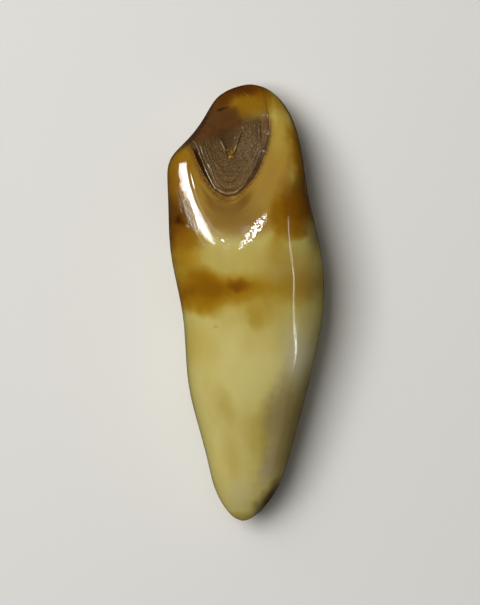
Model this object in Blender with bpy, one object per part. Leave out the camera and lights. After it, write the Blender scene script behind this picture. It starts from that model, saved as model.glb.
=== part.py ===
"""A polished walrus cheek tooth, lying on its back with its worn chewing face up.

The tooth grew as one piece, so it is one solid: a conical root, a swollen neck and a domed crown,
ground off by chewing along a slanting face that lays bare the dentine core. Metres, +Z up. +Y runs
from the root to the crown and +X to the right, seen from above. The origin is on the surface that
the tooth rests on, under the middle of its box.
"""

import math

import bmesh
import bpy
import numpy as np

NAME = "tooth"

# Driving dimensions of the whole tooth.
LENGTH = 0.070
WIDTH = 0.0252
THICKNESS = 0.0198

# The tooth before wear, at stations from the root's tip (0) to the crown's top (1). The middle line
# and half width are shares of WIDTH, and the middle height and half thickness shares of THICKNESS.
ALONG = (0.00, 0.15, 0.31, 0.47, 0.62, 0.73, 0.83, 1.00)
MIDDLE_ACROSS = (-0.013, 0.018, 0.019, 0.047, 0.003, -0.038, -0.057, 0.033)
HALF_WIDTH = (0.156, 0.266, 0.382, 0.443, 0.476, 0.450, 0.431, 0.363)
MIDDLE_UP = (0.330, 0.378, 0.420, 0.466, 0.488, 0.480, 0.452, 0.323)
HALF_THICKNESS = (0.180, 0.312, 0.430, 0.490, 0.516, 0.506, 0.476, 0.420)
SECTION_POWER = 2.4

# The rounding of the two ends: how far it reaches from each tip, and how blunt it is.
ROOT_CAP = 0.0082
CROWN_CAP = 0.0151
CAP_POWER = 2.4

# The back is worn level where the tooth lies.
REST_ROUNDING = 0.0003

# The worn face is a shallow trough. It starts at the lip, on the front of the tooth, and falls
# towards the crown's back edge, leaning a little to the left. Headings are from +X.
LIP = (-0.0009, 0.0089, 0.0197)
FACE_HEADING = math.radians(82.3)
FACE_FALL = math.radians(23.6)
FACE_LEAN = math.radians(6.3)
FACE_RADIUS = 0.0289
FACE_ROUNDING = 0.0042

# A second, steeper hollow breaks off the crown's upper left edge.
NICK = (-0.0075, 0.0286, 0.0057)
NICK_HEADING = math.radians(145.6)
NICK_FALL = math.radians(78.8)
NICK_RADIUS = 0.0105
NICK_ROUNDING = 0.0020

# The dentine core runs lengthwise inside the cement, and stands a little lower where it is bare.
CORE_MIDDLE = (-0.0026, 0.0120)
CORE_HALF_WIDTH = 0.0067
CORE_ABOVE = 0.0041
CORE_BELOW = 0.0095
CORE_POWER = 1.66
CORE_DROP = 0.00030
CORE_EDGE = 0.10

# The mesh: segments round the tooth and rings from the middle of the worn face to the root's tip.
SEGMENTS = 56
RINGS = 80
# How the rings find the surface, by their share of the way. Each starts as an oval inside the
# tooth: its place along and up the tooth, its tilt from flat and its half sizes across and
# lengthwise. From there it looks out: so much ahead, so much across and so much lengthwise.
RING_SHARE = (0.00, 0.36, 0.47, 0.58, 0.90, 1.00)
OVAL_ALONG = (0.0186, 0.0186, 0.0170, 0.0040, -0.0270, -0.0290)
OVAL_UP = (0.0084, 0.0084, 0.0080, 0.0088, 0.0074, 0.0070)
OVAL_TILT = (26.6, 26.6, 28.0, 45.0, 90.0, 90.0)
OVAL_ACROSS = (0.0000, 0.0064, 0.0064, 0.0040, 0.0000, 0.0000)
OVAL_LENGTHWISE = (0.0000, 0.0095, 0.0095, 0.0040, 0.0000, 0.0000)
LOOK_AHEAD = (1.00, 1.00, 0.15, 0.00, 0.00, -1.00)
LOOK_ACROSS = (0.00, 0.42, 1.00, 1.00, 1.00, 0.00)
LOOK_LENGTHWISE = (0.00, 0.50, 1.00, 1.00, 1.00, 0.00)
FARTHEST = 0.050
HALVINGS = 44

CEMENT_COLOUR = (0.52, 0.42, 0.15, 1.0)
CEMENT_ROUGHNESS = 0.22


def curve_through(values, at):
    """The natural cubic curve through `values` at the ALONG stations, read at `at`."""
    stations, heights = np.array(ALONG), np.array(values)
    gap = np.diff(stations)
    slope = np.diff(heights) / gap
    system, bend = np.eye(len(stations)), np.zeros(len(stations))
    for i in range(1, len(stations) - 1):
        system[i, i - 1 : i + 2] = gap[i - 1], 2 * (gap[i - 1] + gap[i]), gap[i]
        bend[i] = 6 * (slope[i] - slope[i - 1])
    bend = np.linalg.solve(system, bend)
    i = np.clip(np.searchsorted(stations, at) - 1, 0, len(gap) - 1)
    before = (stations[i + 1] - at) / gap[i]
    after = 1 - before
    straight = before * heights[i] + after * heights[i + 1]
    curved = (before**3 - before) * bend[i] + (after**3 - after) * bend[i + 1]
    return straight + curved * gap[i] ** 2 / 6


def end_rounding(y):
    """How far the two ends have drawn in the section at `y`, from 1 (not at all) to 0 (the tip)."""
    root = np.clip((ROOT_CAP - (y + LENGTH / 2)) / ROOT_CAP, 0, 1)
    crown = np.clip((CROWN_CAP - (LENGTH / 2 - y)) / CROWN_CAP, 0, 1)
    return np.sqrt((1 - root**CAP_POWER) * (1 - crown**CAP_POWER))


def outside_whole_tooth(points):
    """How far `points` lie outside the tooth as it was before wear; less than 0 is inside."""
    x, y, z = points.T
    share = np.clip(y / LENGTH + 0.5, 0, 1)
    rounding = np.maximum(end_rounding(y), 1e-5)
    half_width = curve_through(HALF_WIDTH, share) * WIDTH * rounding
    half_thickness = curve_through(HALF_THICKNESS, share) * THICKNESS * rounding
    across = np.abs(x - curve_through(MIDDLE_ACROSS, share) * WIDTH) / half_width
    up = np.abs(z - curve_through(MIDDLE_UP, share) * THICKNESS) / half_thickness
    reach = (across**SECTION_POWER + up**SECTION_POWER) ** (1 / SECTION_POWER)
    return (reach - 1) * np.minimum(half_width, half_thickness)


def inside_trough(points, start, along, out, radius):
    """How far `points` lie inside a round trough that runs `along` from `start` and opens `out`."""
    from_axis = points - (start + out * radius)
    from_axis = from_axis - np.outer(from_axis @ along, along)
    return radius - np.linalg.norm(from_axis, axis=1)


def slope_directions(heading, fall, lean=0.0):
    """The downhill and outward directions of a face that falls towards `heading`, seen from above."""
    ahead = np.array((math.cos(heading), math.sin(heading), 0.0))
    aside = np.array((-math.sin(heading), math.cos(heading), 0.0))
    up = np.array((0.0, 0.0, 1.0))
    downhill = ahead * math.cos(fall) - up * math.sin(fall)
    out = (ahead * math.sin(fall) + up * math.cos(fall)) * math.cos(lean) + aside * math.sin(lean)
    return downhill, out


def core_drop(points):
    """How far the bare dentine stands below the cement round it."""
    x, _, z = points.T
    across = np.abs(x - CORE_MIDDLE[0]) / CORE_HALF_WIDTH
    above = z - CORE_MIDDLE[1]
    up = np.maximum(above / CORE_ABOVE, -above / CORE_BELOW)
    layer = (across**CORE_POWER + up**CORE_POWER) ** (1 / CORE_POWER)
    step = np.clip((1 - layer) / CORE_EDGE, 0, 1)
    return CORE_DROP * step * step * (3 - 2 * step)


def rounded_cut(first, second, rounding):
    """The larger of two distances, with the edge between them rounded off."""
    near = np.maximum(rounding - np.abs(first - second), 0) / rounding
    return np.maximum(first, second) + near**3 * rounding / 6


def outside_worn_tooth(points):
    """How far `points` lie outside the worn tooth; less than 0 is inside."""
    downhill, out = slope_directions(FACE_HEADING, FACE_FALL, FACE_LEAN)
    face = inside_trough(points, np.array(LIP), downhill, out, FACE_RADIUS) + core_drop(points)
    nick_downhill, nick_out = slope_directions(NICK_HEADING, NICK_FALL)
    nick = inside_trough(points, np.array(NICK), nick_downhill, nick_out, NICK_RADIUS)
    worn = rounded_cut(face, nick, NICK_ROUNDING)
    tooth = rounded_cut(outside_whole_tooth(points), worn, FACE_ROUNDING)
    return rounded_cut(tooth, -points[:, 2], REST_ROUNDING)


def aim(directions):
    """Where each ray that finds the surface starts, and its direction, for unit `directions`."""
    share = np.arccos(np.clip(directions[:, 2], -1, 1)) / math.pi
    around = np.arctan2(directions[:, 1], directions[:, 0])

    def keyed(values):
        return np.interp(share, RING_SHARE, values)

    def tilted(ahead, across, lengthwise):
        """Vectors of these sizes in the ring's own tilted directions."""
        return np.stack(
            (
                across * np.cos(around),
                ahead * np.sin(tilt) + lengthwise * np.sin(around) * np.cos(tilt),
                ahead * np.cos(tilt) - lengthwise * np.sin(around) * np.sin(tilt),
            ),
            axis=1,
        )

    tilt = np.radians(keyed(OVAL_TILT))
    along = keyed(OVAL_ALONG)
    middle = curve_through(MIDDLE_ACROSS, np.clip(along / LENGTH + 0.5, 0, 1)) * WIDTH
    starts = np.stack((middle, along, keyed(OVAL_UP)), axis=1)
    starts += tilted(0.0, keyed(OVAL_ACROSS), keyed(OVAL_LENGTHWISE))
    rays = tilted(keyed(LOOK_AHEAD), keyed(LOOK_ACROSS), keyed(LOOK_LENGTHWISE))
    return starts, rays / np.linalg.norm(rays, axis=1)[:, None]


def on_surface(directions):
    """The points of the tooth's surface that the rays for unit `directions` reach, by halving."""
    starts, rays = aim(directions)
    near, far = np.zeros(len(rays)), np.full(len(rays), FARTHEST)
    for _ in range(HALVINGS):
        middle = (near + far) / 2
        outside = outside_worn_tooth(starts + rays * middle[:, None]) > 0
        far = np.where(outside, middle, far)
        near = np.where(outside, near, middle)
    return starts + rays * near[:, None]


def clear_scene():
    """Removes whatever the file holds."""
    for obj in list(bpy.data.objects):
        bpy.data.objects.remove(obj, do_unlink=True)


def cement_material():
    """The polished, yellowed cement that coats the tooth."""
    material = bpy.data.materials.new("cement")
    material.use_nodes = True
    shader = material.node_tree.nodes["Principled BSDF"]
    shader.inputs["Base Color"].default_value = CEMENT_COLOUR
    shader.inputs["Roughness"].default_value = CEMENT_ROUGHNESS
    shader.inputs["Metallic"].default_value = 0.0
    return material


def make_tooth(collection):
    """The tooth: a sphere whose every point is moved out to the worn tooth's surface."""
    sculpt = bmesh.new()
    bmesh.ops.create_uvsphere(sculpt, u_segments=SEGMENTS, v_segments=RINGS, radius=1.0)
    directions = np.array([vert.co.normalized() for vert in sculpt.verts])
    for vert, place in zip(sculpt.verts, on_surface(directions)):
        vert.co = place
    sculpt.normal_update()
    bmesh.ops.recalc_face_normals(sculpt, faces=sculpt.faces)
    mesh = bpy.data.meshes.new(NAME)
    sculpt.to_mesh(mesh)
    sculpt.free()
    mesh.shade_smooth()
    mesh.materials.append(cement_material())
    tooth = bpy.data.objects.new(NAME, mesh)
    collection.objects.link(tooth)
    return tooth


def main():
    """Builds the tooth in a collection of its own."""
    clear_scene()
    collection = bpy.data.collections.new("walrus_tooth")
    bpy.context.scene.collection.children.link(collection)
    make_tooth(collection)


main()
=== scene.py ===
"""The look of a polished walrus cheek tooth, lying on its back with its worn face up.

The tooth is one grown piece. Its surface is sculpted finely here, on the same form as its solid,
with the relief of the worn face: the sunken dentine core, its growth ledges and the V-shaped
hollow of its pulp. One procedural material colours the cement, its stains and the dentine, and
paints some highlights, sheen and shade into that colour.
Metres, +Z up, +Y from the root to the crown; the material's own places are in millimetres.
"""

import logging
import math
from collections.abc import Sequence
from dataclasses import dataclass
from enum import Enum

import bmesh
import bpy
import numpy as np
from mathutils import Matrix, Vector


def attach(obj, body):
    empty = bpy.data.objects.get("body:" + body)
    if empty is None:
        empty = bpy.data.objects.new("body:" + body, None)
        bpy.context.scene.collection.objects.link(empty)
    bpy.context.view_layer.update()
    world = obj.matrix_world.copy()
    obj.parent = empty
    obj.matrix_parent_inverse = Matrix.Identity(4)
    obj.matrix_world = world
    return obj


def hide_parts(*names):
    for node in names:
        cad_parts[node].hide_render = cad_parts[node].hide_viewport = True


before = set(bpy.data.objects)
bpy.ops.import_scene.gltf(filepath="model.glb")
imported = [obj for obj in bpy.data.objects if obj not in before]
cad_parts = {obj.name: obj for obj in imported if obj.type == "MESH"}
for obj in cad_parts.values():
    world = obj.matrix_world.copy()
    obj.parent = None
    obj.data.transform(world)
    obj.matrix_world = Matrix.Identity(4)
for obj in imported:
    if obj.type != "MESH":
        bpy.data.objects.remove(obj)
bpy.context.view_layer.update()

MM = 0.001
DYE_POWER = 4.0

Array = np.ndarray
Socket = bpy.types.NodeSocket
Colour = tuple[float, float, float]
Point = tuple[float, float, float]
Pair = tuple[float, float]
Span = tuple[float, float]
Rise = tuple[float, ...]

log = logging.getLogger("walrus_tooth")


def smooth_step(low: float, high: float, value: Array) -> Array:
    """Rises smoothly from 0 at `low` to 1 at `high`.

    Args:
        low: Where the rise starts.
        high: Where it ends, which may be lower than `low`.
        value: The numbers to read it at.

    Returns:
        The risen share for each number.
    """
    share = np.clip((value - low) / (high - low), 0, 1)
    return share * share * (3 - 2 * share)


def weakened(least: float, span: Span, value: Array) -> Array:
    """A share that rises smoothly from `least`, at the start of the span, to 1 at its end."""
    return least + (1 - least) * smooth_step(*span, value)


def rounded_cut(first: Array, second: Array, rounding: float) -> Array:
    """The larger of two distances, with the edge between them rounded off.

    Args:
        first: Distances outside one form.
        second: Distances outside the other.
        rounding: How far from the edge the rounding starts, in metres.

    Returns:
        The distances outside both.
    """
    near = np.maximum(rounding - np.abs(first - second), 0) / rounding
    return np.maximum(first, second) + near**3 * rounding / 6


def display(red: int, green: int, blue: int) -> Colour:
    """A colour as a screen shows it, from 0 to 255, as the linear colour that a shader takes.

    Args:
        red: The red, from 0 to 255.
        green: The green.
        blue: The blue.

    Returns:
        The linear colour.
    """
    return tuple(
        c / 12.92 if c <= 0.04045 else ((c + 0.055) / 1.055) ** 2.4
        for c in (red / 255, green / 255, blue / 255)
    )


@dataclass(frozen=True)
class Waver:
    """A smooth, irregular waver of a surface: many sine waves in seeded directions.

    Attributes:
        wavelength: The middle wavelength, in metres.
        seed: Picks the directions, so that each waver differs and always comes out the same.
        waves: How many waves are added.
        stretch: Divides the waver's changes along Y, so that it runs lengthwise.
    """

    wavelength: float
    seed: int
    waves: int = 12
    stretch: float = 1.0

    def at(self, points: Array) -> Array:
        """The waver at some points.

        Args:
            points: Rows of x, y, z in metres.

        Returns:
            Numbers of about -1 to 1.
        """
        draw = np.random.RandomState(self.seed)
        ways = draw.normal(size=(self.waves, 3))
        ways /= np.linalg.norm(ways, axis=1)[:, None]
        ways *= (2 * math.pi / (self.wavelength * draw.uniform(0.6, 1.6, self.waves)))[:, None]
        ways[:, 1] /= self.stretch
        phases = draw.uniform(0, 2 * math.pi, self.waves)
        return np.sin(points @ ways.T + phases).sum(axis=1) / math.sqrt(self.waves * 2)


@dataclass(frozen=True)
class GrownTooth:
    """The whole tooth before wear: a lengthwise run of oval sections with two rounded ends.

    Attributes:
        length: Its length.
        width: Its width, which the values across it are shares of.
        thickness: Its thickness, which the values up it are shares of.
        along: Where the sections are, as shares of the length from the root's end.
        middle_across: How far each section's middle is to the right.
        half_width: Each section's half width.
        middle_up: How high each section's middle is.
        half_thickness: Each section's half thickness.
        section_power: How square the sections are; 2 is a plain oval.
        root_cap: How much of the length the rounding of the root takes.
        crown_cap: How much of it the rounding of the crown takes.
        cap_power: How blunt both ends are.
        least_rounding: How small a section gets at the tips, as a share.
        lumps: The unevenness of the whole surface.
        lump_height: Its height.
        lump_top: How high the lumps would reach, so that they only hollow the surface.
        dimples: The fine dimples of the polish.
        dimple_height: Their height.
        level_foot: How high above the resting patch both are at their full height.
    """

    length: float = 0.06987
    width: float = 0.0252
    thickness: float = 0.0198
    along: tuple[float, ...] = (0.00, 0.15, 0.31, 0.47, 0.62, 0.73, 0.83, 1.00)
    middle_across: tuple[float, ...] = (-0.013, 0.018, 0.019, 0.047, 0.003, -0.038, -0.057, 0.033)
    half_width: tuple[float, ...] = (0.156, 0.266, 0.382, 0.443, 0.476, 0.450, 0.431, 0.363)
    middle_up: tuple[float, ...] = (0.330, 0.378, 0.420, 0.466, 0.488, 0.480, 0.452, 0.323)
    half_thickness: tuple[float, ...] = (0.180, 0.312, 0.430, 0.490, 0.516, 0.506, 0.476, 0.420)
    section_power: float = 2.4
    root_cap: float = 0.0082
    crown_cap: float = 0.0151
    cap_power: float = 2.4
    least_rounding: float = 1e-5
    lumps: Waver = Waver(0.011, seed=4, stretch=1.8)
    lump_height: float = 0.00008
    lump_top: float = 1.25
    dimples: Waver = Waver(0.0026, seed=9, waves=20, stretch=1.4)
    dimple_height: float = 0.000005
    level_foot: float = 0.004

    def curve_through(self, values: tuple[float, ...], at: Array) -> Array:
        """The natural cubic curve through values at the stations.

        Args:
            values: One value for each station of `along`.
            at: The shares of the length to read it at.

        Returns:
            The curve's value at each.
        """
        stations, heights = np.array(self.along), np.array(values)
        gap = np.diff(stations)
        slope = np.diff(heights) / gap
        system, bend = np.eye(len(stations)), np.zeros(len(stations))
        for i in range(1, len(stations) - 1):
            system[i, i - 1 : i + 2] = gap[i - 1], 2 * (gap[i - 1] + gap[i]), gap[i]
            bend[i] = 6 * (slope[i] - slope[i - 1])
        bend = np.linalg.solve(system, bend)
        i = np.clip(np.searchsorted(stations, at) - 1, 0, len(gap) - 1)
        before = (stations[i + 1] - at) / gap[i]
        after = 1 - before
        straight = before * heights[i] + after * heights[i + 1]
        curved = (before**3 - before) * bend[i] + (after**3 - after) * bend[i + 1]
        return straight + curved * gap[i] ** 2 / 6

    def middle_line(self, y: Array) -> Array:
        """How far to the right the tooth's middle is at each place along it."""
        share = np.clip(y / self.length + 0.5, 0, 1)
        return self.curve_through(self.middle_across, share) * self.width

    def end_rounding(self, y: Array) -> Array:
        """How far the ends have drawn in the section, from 1 (not at all) to 0 (the tip).

        Args:
            y: Places along the tooth, in metres.

        Returns:
            The shares.
        """
        root = np.clip((self.root_cap - (y + self.length / 2)) / self.root_cap, 0, 1)
        crown = np.clip((self.crown_cap - (self.length / 2 - y)) / self.crown_cap, 0, 1)
        return np.sqrt((1 - root**self.cap_power) * (1 - crown**self.cap_power))

    def outside(self, points: Array) -> Array:
        """How far points lie outside the unworn tooth.

        Args:
            points: Rows of x, y, z in metres.

        Returns:
            Distances in metres, less than 0 inside.
        """
        x, y, z = points.T
        share = np.clip(y / self.length + 0.5, 0, 1)
        rounding = np.maximum(self.end_rounding(y), self.least_rounding)
        half_width = self.curve_through(self.half_width, share) * self.width * rounding
        half_up = self.curve_through(self.half_thickness, share) * self.thickness * rounding
        middle_up = self.curve_through(self.middle_up, share) * self.thickness
        across = np.abs(x - self.middle_line(y)) / half_width
        up = np.abs(z - middle_up) / half_up
        reach = (across**self.section_power + up**self.section_power) ** (1 / self.section_power)
        form = (reach - 1) * np.minimum(half_width, half_up)
        hollows = (self.lump_top - self.lumps.at(points)) * self.lump_height
        hollows += self.dimples.at(points) * self.dimple_height
        return form + hollows * smooth_step(0.0, self.level_foot, z)


@dataclass(frozen=True)
class Trough:
    """A round hollow that wear has cut along a slope.

    Attributes:
        start: A point on its lowest line.
        heading: The way it falls, seen from above, in degrees from +X.
        fall: How steeply it falls, in degrees.
        lean: How far it leans to its left, in degrees.
        radius: The radius of the hollow.
    """

    start: Point
    heading: float
    fall: float
    lean: float
    radius: float

    def axis(self) -> tuple[Array, Array]:
        """A point on the hollow's axis, and the way that it runs.

        Returns:
            The point in metres, and the unit direction.
        """
        heading, fall, lean = (math.radians(a) for a in (self.heading, self.fall, self.lean))
        ahead = np.array((math.cos(heading), math.sin(heading), 0.0))
        aside = np.array((-math.sin(heading), math.cos(heading), 0.0))
        up = np.array((0.0, 0.0, 1.0))
        downhill = ahead * math.cos(fall) - up * math.sin(fall)
        square = ahead * math.sin(fall) + up * math.cos(fall)
        out = square * math.cos(lean) + aside * math.sin(lean)
        return np.array(self.start) + out * self.radius, downhill

    def inside(self, points: Array) -> Array:
        """How far points lie inside the hollow, where the tooth is gone.

        Args:
            points: Rows of x, y, z in metres.

        Returns:
            Distances in metres, less than 0 outside it.
        """
        centre, downhill = self.axis()
        from_axis = points - centre
        from_axis = from_axis - np.outer(from_axis @ downhill, downhill)
        return self.radius - np.linalg.norm(from_axis, axis=1)


@dataclass(frozen=True)
class DentineCore:
    """The dentine inside the cement: an egg-shaped rod of growth layers that runs lengthwise.

    Attributes:
        across: How far its middle is to the right.
        up: How high its middle is.
        half_width: Its half width.
        top: How far it reaches above its middle.
        bottom: How far it reaches below its middle.
        power: How pointed its section is; 2 is a plain oval.
        waves: The unevenness of its outside: how many waves go round it, how high each is as a
            share of its size, and where it starts.
    """

    across: float = -0.00270
    up: float = 0.01202
    half_width: float = 0.00657
    top: float = 0.00430
    bottom: float = 0.00953
    power: float = 1.66
    waves: tuple[Point, ...] = (
        (5, 0.006, 1.0),
        (11, 0.004, 2.3),
        (23, 0.0025, 0.7),
        (37, 0.0015, 4.0),
    )

    def layer(self, points: Array) -> Array:
        """Which growth layer points are in: 0 in the middle, 1 at the core's outside.

        Args:
            points: Rows of x, y, z in metres.

        Returns:
            The layers, with the waves of the core's outside.
        """
        x, _, z = points.T
        across = np.abs(x - self.across) / self.half_width
        up = np.maximum((z - self.up) / self.top, (self.up - z) / self.bottom)
        layer = (across**self.power + up**self.power) ** (1 / self.power)
        side = self.side(points)
        for count, height, start in self.waves:
            layer = layer + height * np.sin(count * side + start)
        return layer

    def side(self, points: Array) -> Array:
        """The way round the core, in radians: 0 on top, less on the left and more on the right."""
        x, _, z = points.T
        return np.arctan2((x - self.across) / self.half_width, (z - self.up) / self.top)


@dataclass(frozen=True)
class FaceRelief:
    """The low relief of the bare dentine, as depths below the worn face.

    Spans along the tooth are in metres, from none to full, and so are depths and heights. Spans
    round the core are in radians, and spans of a waver are in its own height.

    Attributes:
        core: The dentine core.
        patches: The waver that makes the relief stronger here and weaker there.
        left_sides: The ways round the core where its left flank sets in.
        right_sides: The ways where its right flank sets in.
        floor_depth: How far the dentine stands below the cement round it.
        floor_along: Where along the tooth the dentine sinks to that depth.
        ledges: The growth layers that end in a step down, and how deep each step is.
        ledge_run: How much of a layer each step takes.
        ledge_waver: How much of a layer the steps waver by.
        ledge_patches: Where the patches weaken the steps.
        gap_inner: The layer where the gap between dentine and cement starts, at the lip.
        gap_spread: How much further in it starts at the sides.
        gap_sides: How far round the core it has spread.
        gap_run: How much of a layer its inner edge takes.
        gap_waver: How much of a layer it wavers by.
        gap_depth: How deep it is where it is open.
        gap_along: Where along the tooth it opens.
        gap_patches: Where the patches close it.
        closed_sides: The ways round the core where it closes at the upper right.
        closed_along: Where along the tooth it closes there.
        closed_share: How far its spread draws back there.
        wall_run: How much of a layer the cement's wall round the core takes.
        ripples: How many fine growth ripples there are.
        ripple_height: The height of the fine ripples.
        ripple_waver: How much of a layer they waver by.
        ripple_patches: Where the patches weaken them.
        grain: The finest waver of the dentine.
        grain_height: Its height.
        notch_tip: The lowest point of the V-shaped hollow, seen from above.
        notch_left: The way its left arm runs.
        notch_right: The way its right arm runs.
        notch_depth: How deep it is.
        notch_wall: How far its walls slope.
        notch_rounding: How far the corner between its arms is rounded.
        notch_along: Where along the tooth it runs out.
        smooth_slant: How far the edge of the smooth upper left rises to the right, as a slope.
        smooth_edge: Where along the tooth that edge is, at the tooth's middle.
        smooth_across: How far to the right the smooth upper left reaches.
        smooth_top: Where along the tooth the smooth upper edge sets in.
    """

    core: DentineCore = DentineCore()
    patches: Waver = Waver(0.0026, seed=23)
    left_sides: Span = (0.3, -0.5)
    right_sides: Span = (0.7, 1.3)
    floor_depth: float = 0.000042
    floor_along: Span = (0.0335, 0.0285)
    ledges: tuple[Pair, ...] = (
        (0.50, 0.00002),
        (0.62, 0.00003),
        (0.70, 0.00002),
        (0.775, 0.00004),
    )
    ledge_run: float = 0.018
    ledge_waver: float = 0.012
    ledge_patches: Span = (-0.5, 0.5)
    gap_inner: float = 0.950
    gap_spread: float = 0.085
    gap_sides: Span = (0.15, 0.9)
    gap_run: float = 0.012
    gap_waver: float = 0.004
    gap_depth: float = 0.000032
    gap_along: Span = (0.0285, 0.0235)
    gap_patches: Span = (-0.6, 0.3)
    closed_sides: Span = (0.3, 0.8)
    closed_along: Span = (0.0234, 0.0258)
    closed_share: float = 0.8
    wall_run: float = 0.042
    ripples: float = 27.0
    ripple_height: float = 0.0000010
    ripple_waver: float = 0.05
    ripple_patches: Span = (-0.4, 0.6)
    grain: Waver = Waver(0.0006, seed=31, waves=24, stretch=1.6)
    grain_height: float = 0.000006
    notch_tip: Pair = (-0.00236, 0.0227)
    notch_left: Pair = (-0.55, 1.0)
    notch_right: Pair = (0.33, 1.0)
    notch_depth: float = 0.00015
    notch_wall: float = 0.00055
    notch_rounding: float = 0.0003
    notch_along: Span = (0.0272, 0.0250)
    smooth_slant: float = 0.34
    smooth_edge: Span = (0.0274, 0.0283)
    smooth_across: Span = (0.0003, -0.0008)
    smooth_top: Span = (0.0290, 0.0302)

    def notch(self, points: Array) -> Array:
        """The depth of the V-shaped hollow that the pulp left.

        Args:
            points: Rows of x, y, z in metres.

        Returns:
            Depths in metres.
        """
        from_tip = points[:, :2] - np.array(self.notch_tip)
        left = np.array(self.notch_left) / math.hypot(*self.notch_left)
        right = np.array(self.notch_right) / math.hypot(*self.notch_right)
        past_left = from_tip[:, 1] * left[0] - from_tip[:, 0] * left[1]
        past_right = from_tip[:, 0] * right[1] - from_tip[:, 1] * right[0]
        outside = rounded_cut(past_left, past_right, self.notch_rounding)
        runs_out = smooth_step(*self.notch_along, points[:, 1])
        return self.notch_depth * smooth_step(0.0, self.notch_wall, -outside) * runs_out

    def smooth_share(self, points: Array) -> Array:
        """How far wear has polished the dentine smooth: 1 on its upper left and its upper edge.

        Args:
            points: Rows of x, y, z in metres.

        Returns:
            The polished share of each.
        """
        x, y, _ = points.T
        above_edge = smooth_step(*self.smooth_edge, y - self.smooth_slant * x)
        upper_left = above_edge * smooth_step(*self.smooth_across, x)
        return np.maximum(upper_left, smooth_step(*self.smooth_top, y))

    def ledge_steps(self, layer: Array, patch: Array, flanks: tuple[Array, Array]) -> Array:
        """The depth of the ledges' steps.

        Args:
            layer: The growth layer of each point.
            patch: The waver of the patches there.
            flanks: How far each point is on the left flank, and on the right one.

        Returns:
            Depths in metres.
        """
        left, right = flanks
        depth = np.zeros_like(layer)
        for edge, drop in self.ledges:
            shaken = layer + patch * self.ledge_waver
            depth += drop * smooth_step(edge, edge + self.ledge_run, shaken)
        strength = 0.35 + 0.65 * left + 0.25 * right
        return depth * strength * weakened(0.45, self.ledge_patches, patch)

    def open_gap(self, points: Array, layer: Array, patch: Array, flanks: tuple[Array, Array]) -> Array:
        """The depth of the gap between the dentine and the cement.

        Args:
            points: Rows of x, y, z in metres.
            layer: The growth layer of each point.
            patch: The waver of the patches there.
            flanks: How far each point is on the left flank, and on the right one.

        Returns:
            Depths in metres.
        """
        side, along = self.core.side(points), points[:, 1]
        closed = smooth_step(*self.closed_sides, side) * smooth_step(*self.closed_along, along)
        spread = self.gap_spread * smooth_step(*self.gap_sides, np.abs(side))
        spread *= 1 - self.closed_share * closed
        inside = layer - self.gap_inner + spread + patch * self.gap_waver
        gape = (0.5 + 0.5 * np.maximum(*flanks)) * smooth_step(*self.gap_along, along)
        gape *= weakened(0.45, self.gap_patches, patch) * (1 - closed)
        return self.gap_depth * smooth_step(0.0, self.gap_run, inside) * gape

    def depth(self, points: Array) -> Array:
        """How far the bare surface lies below the plain worn face.

        Args:
            points: Rows of x, y, z in metres.

        Returns:
            Depths in metres, 0 on the cement.
        """
        layer, side = self.core.layer(points), self.core.side(points)
        patch = self.patches.at(points)
        flanks = smooth_step(*self.left_sides, side), smooth_step(*self.right_sides, side)
        ripple = np.sin((layer + patch * self.ripple_waver) * self.ripples * 2 * math.pi)
        relief = self.ledge_steps(layer, patch, flanks)
        relief += self.open_gap(points, layer, patch, flanks)
        relief += self.ripple_height * ripple * weakened(0.2, self.ripple_patches, patch)
        relief += self.grain_height * self.grain.at(points)
        relief *= 1 - self.smooth_share(points)
        relief += self.notch(points)
        relief += self.floor_depth * smooth_step(*self.floor_along, points[:, 1])
        return relief * smooth_step(1.0, 1.0 - self.wall_run, layer)


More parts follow.
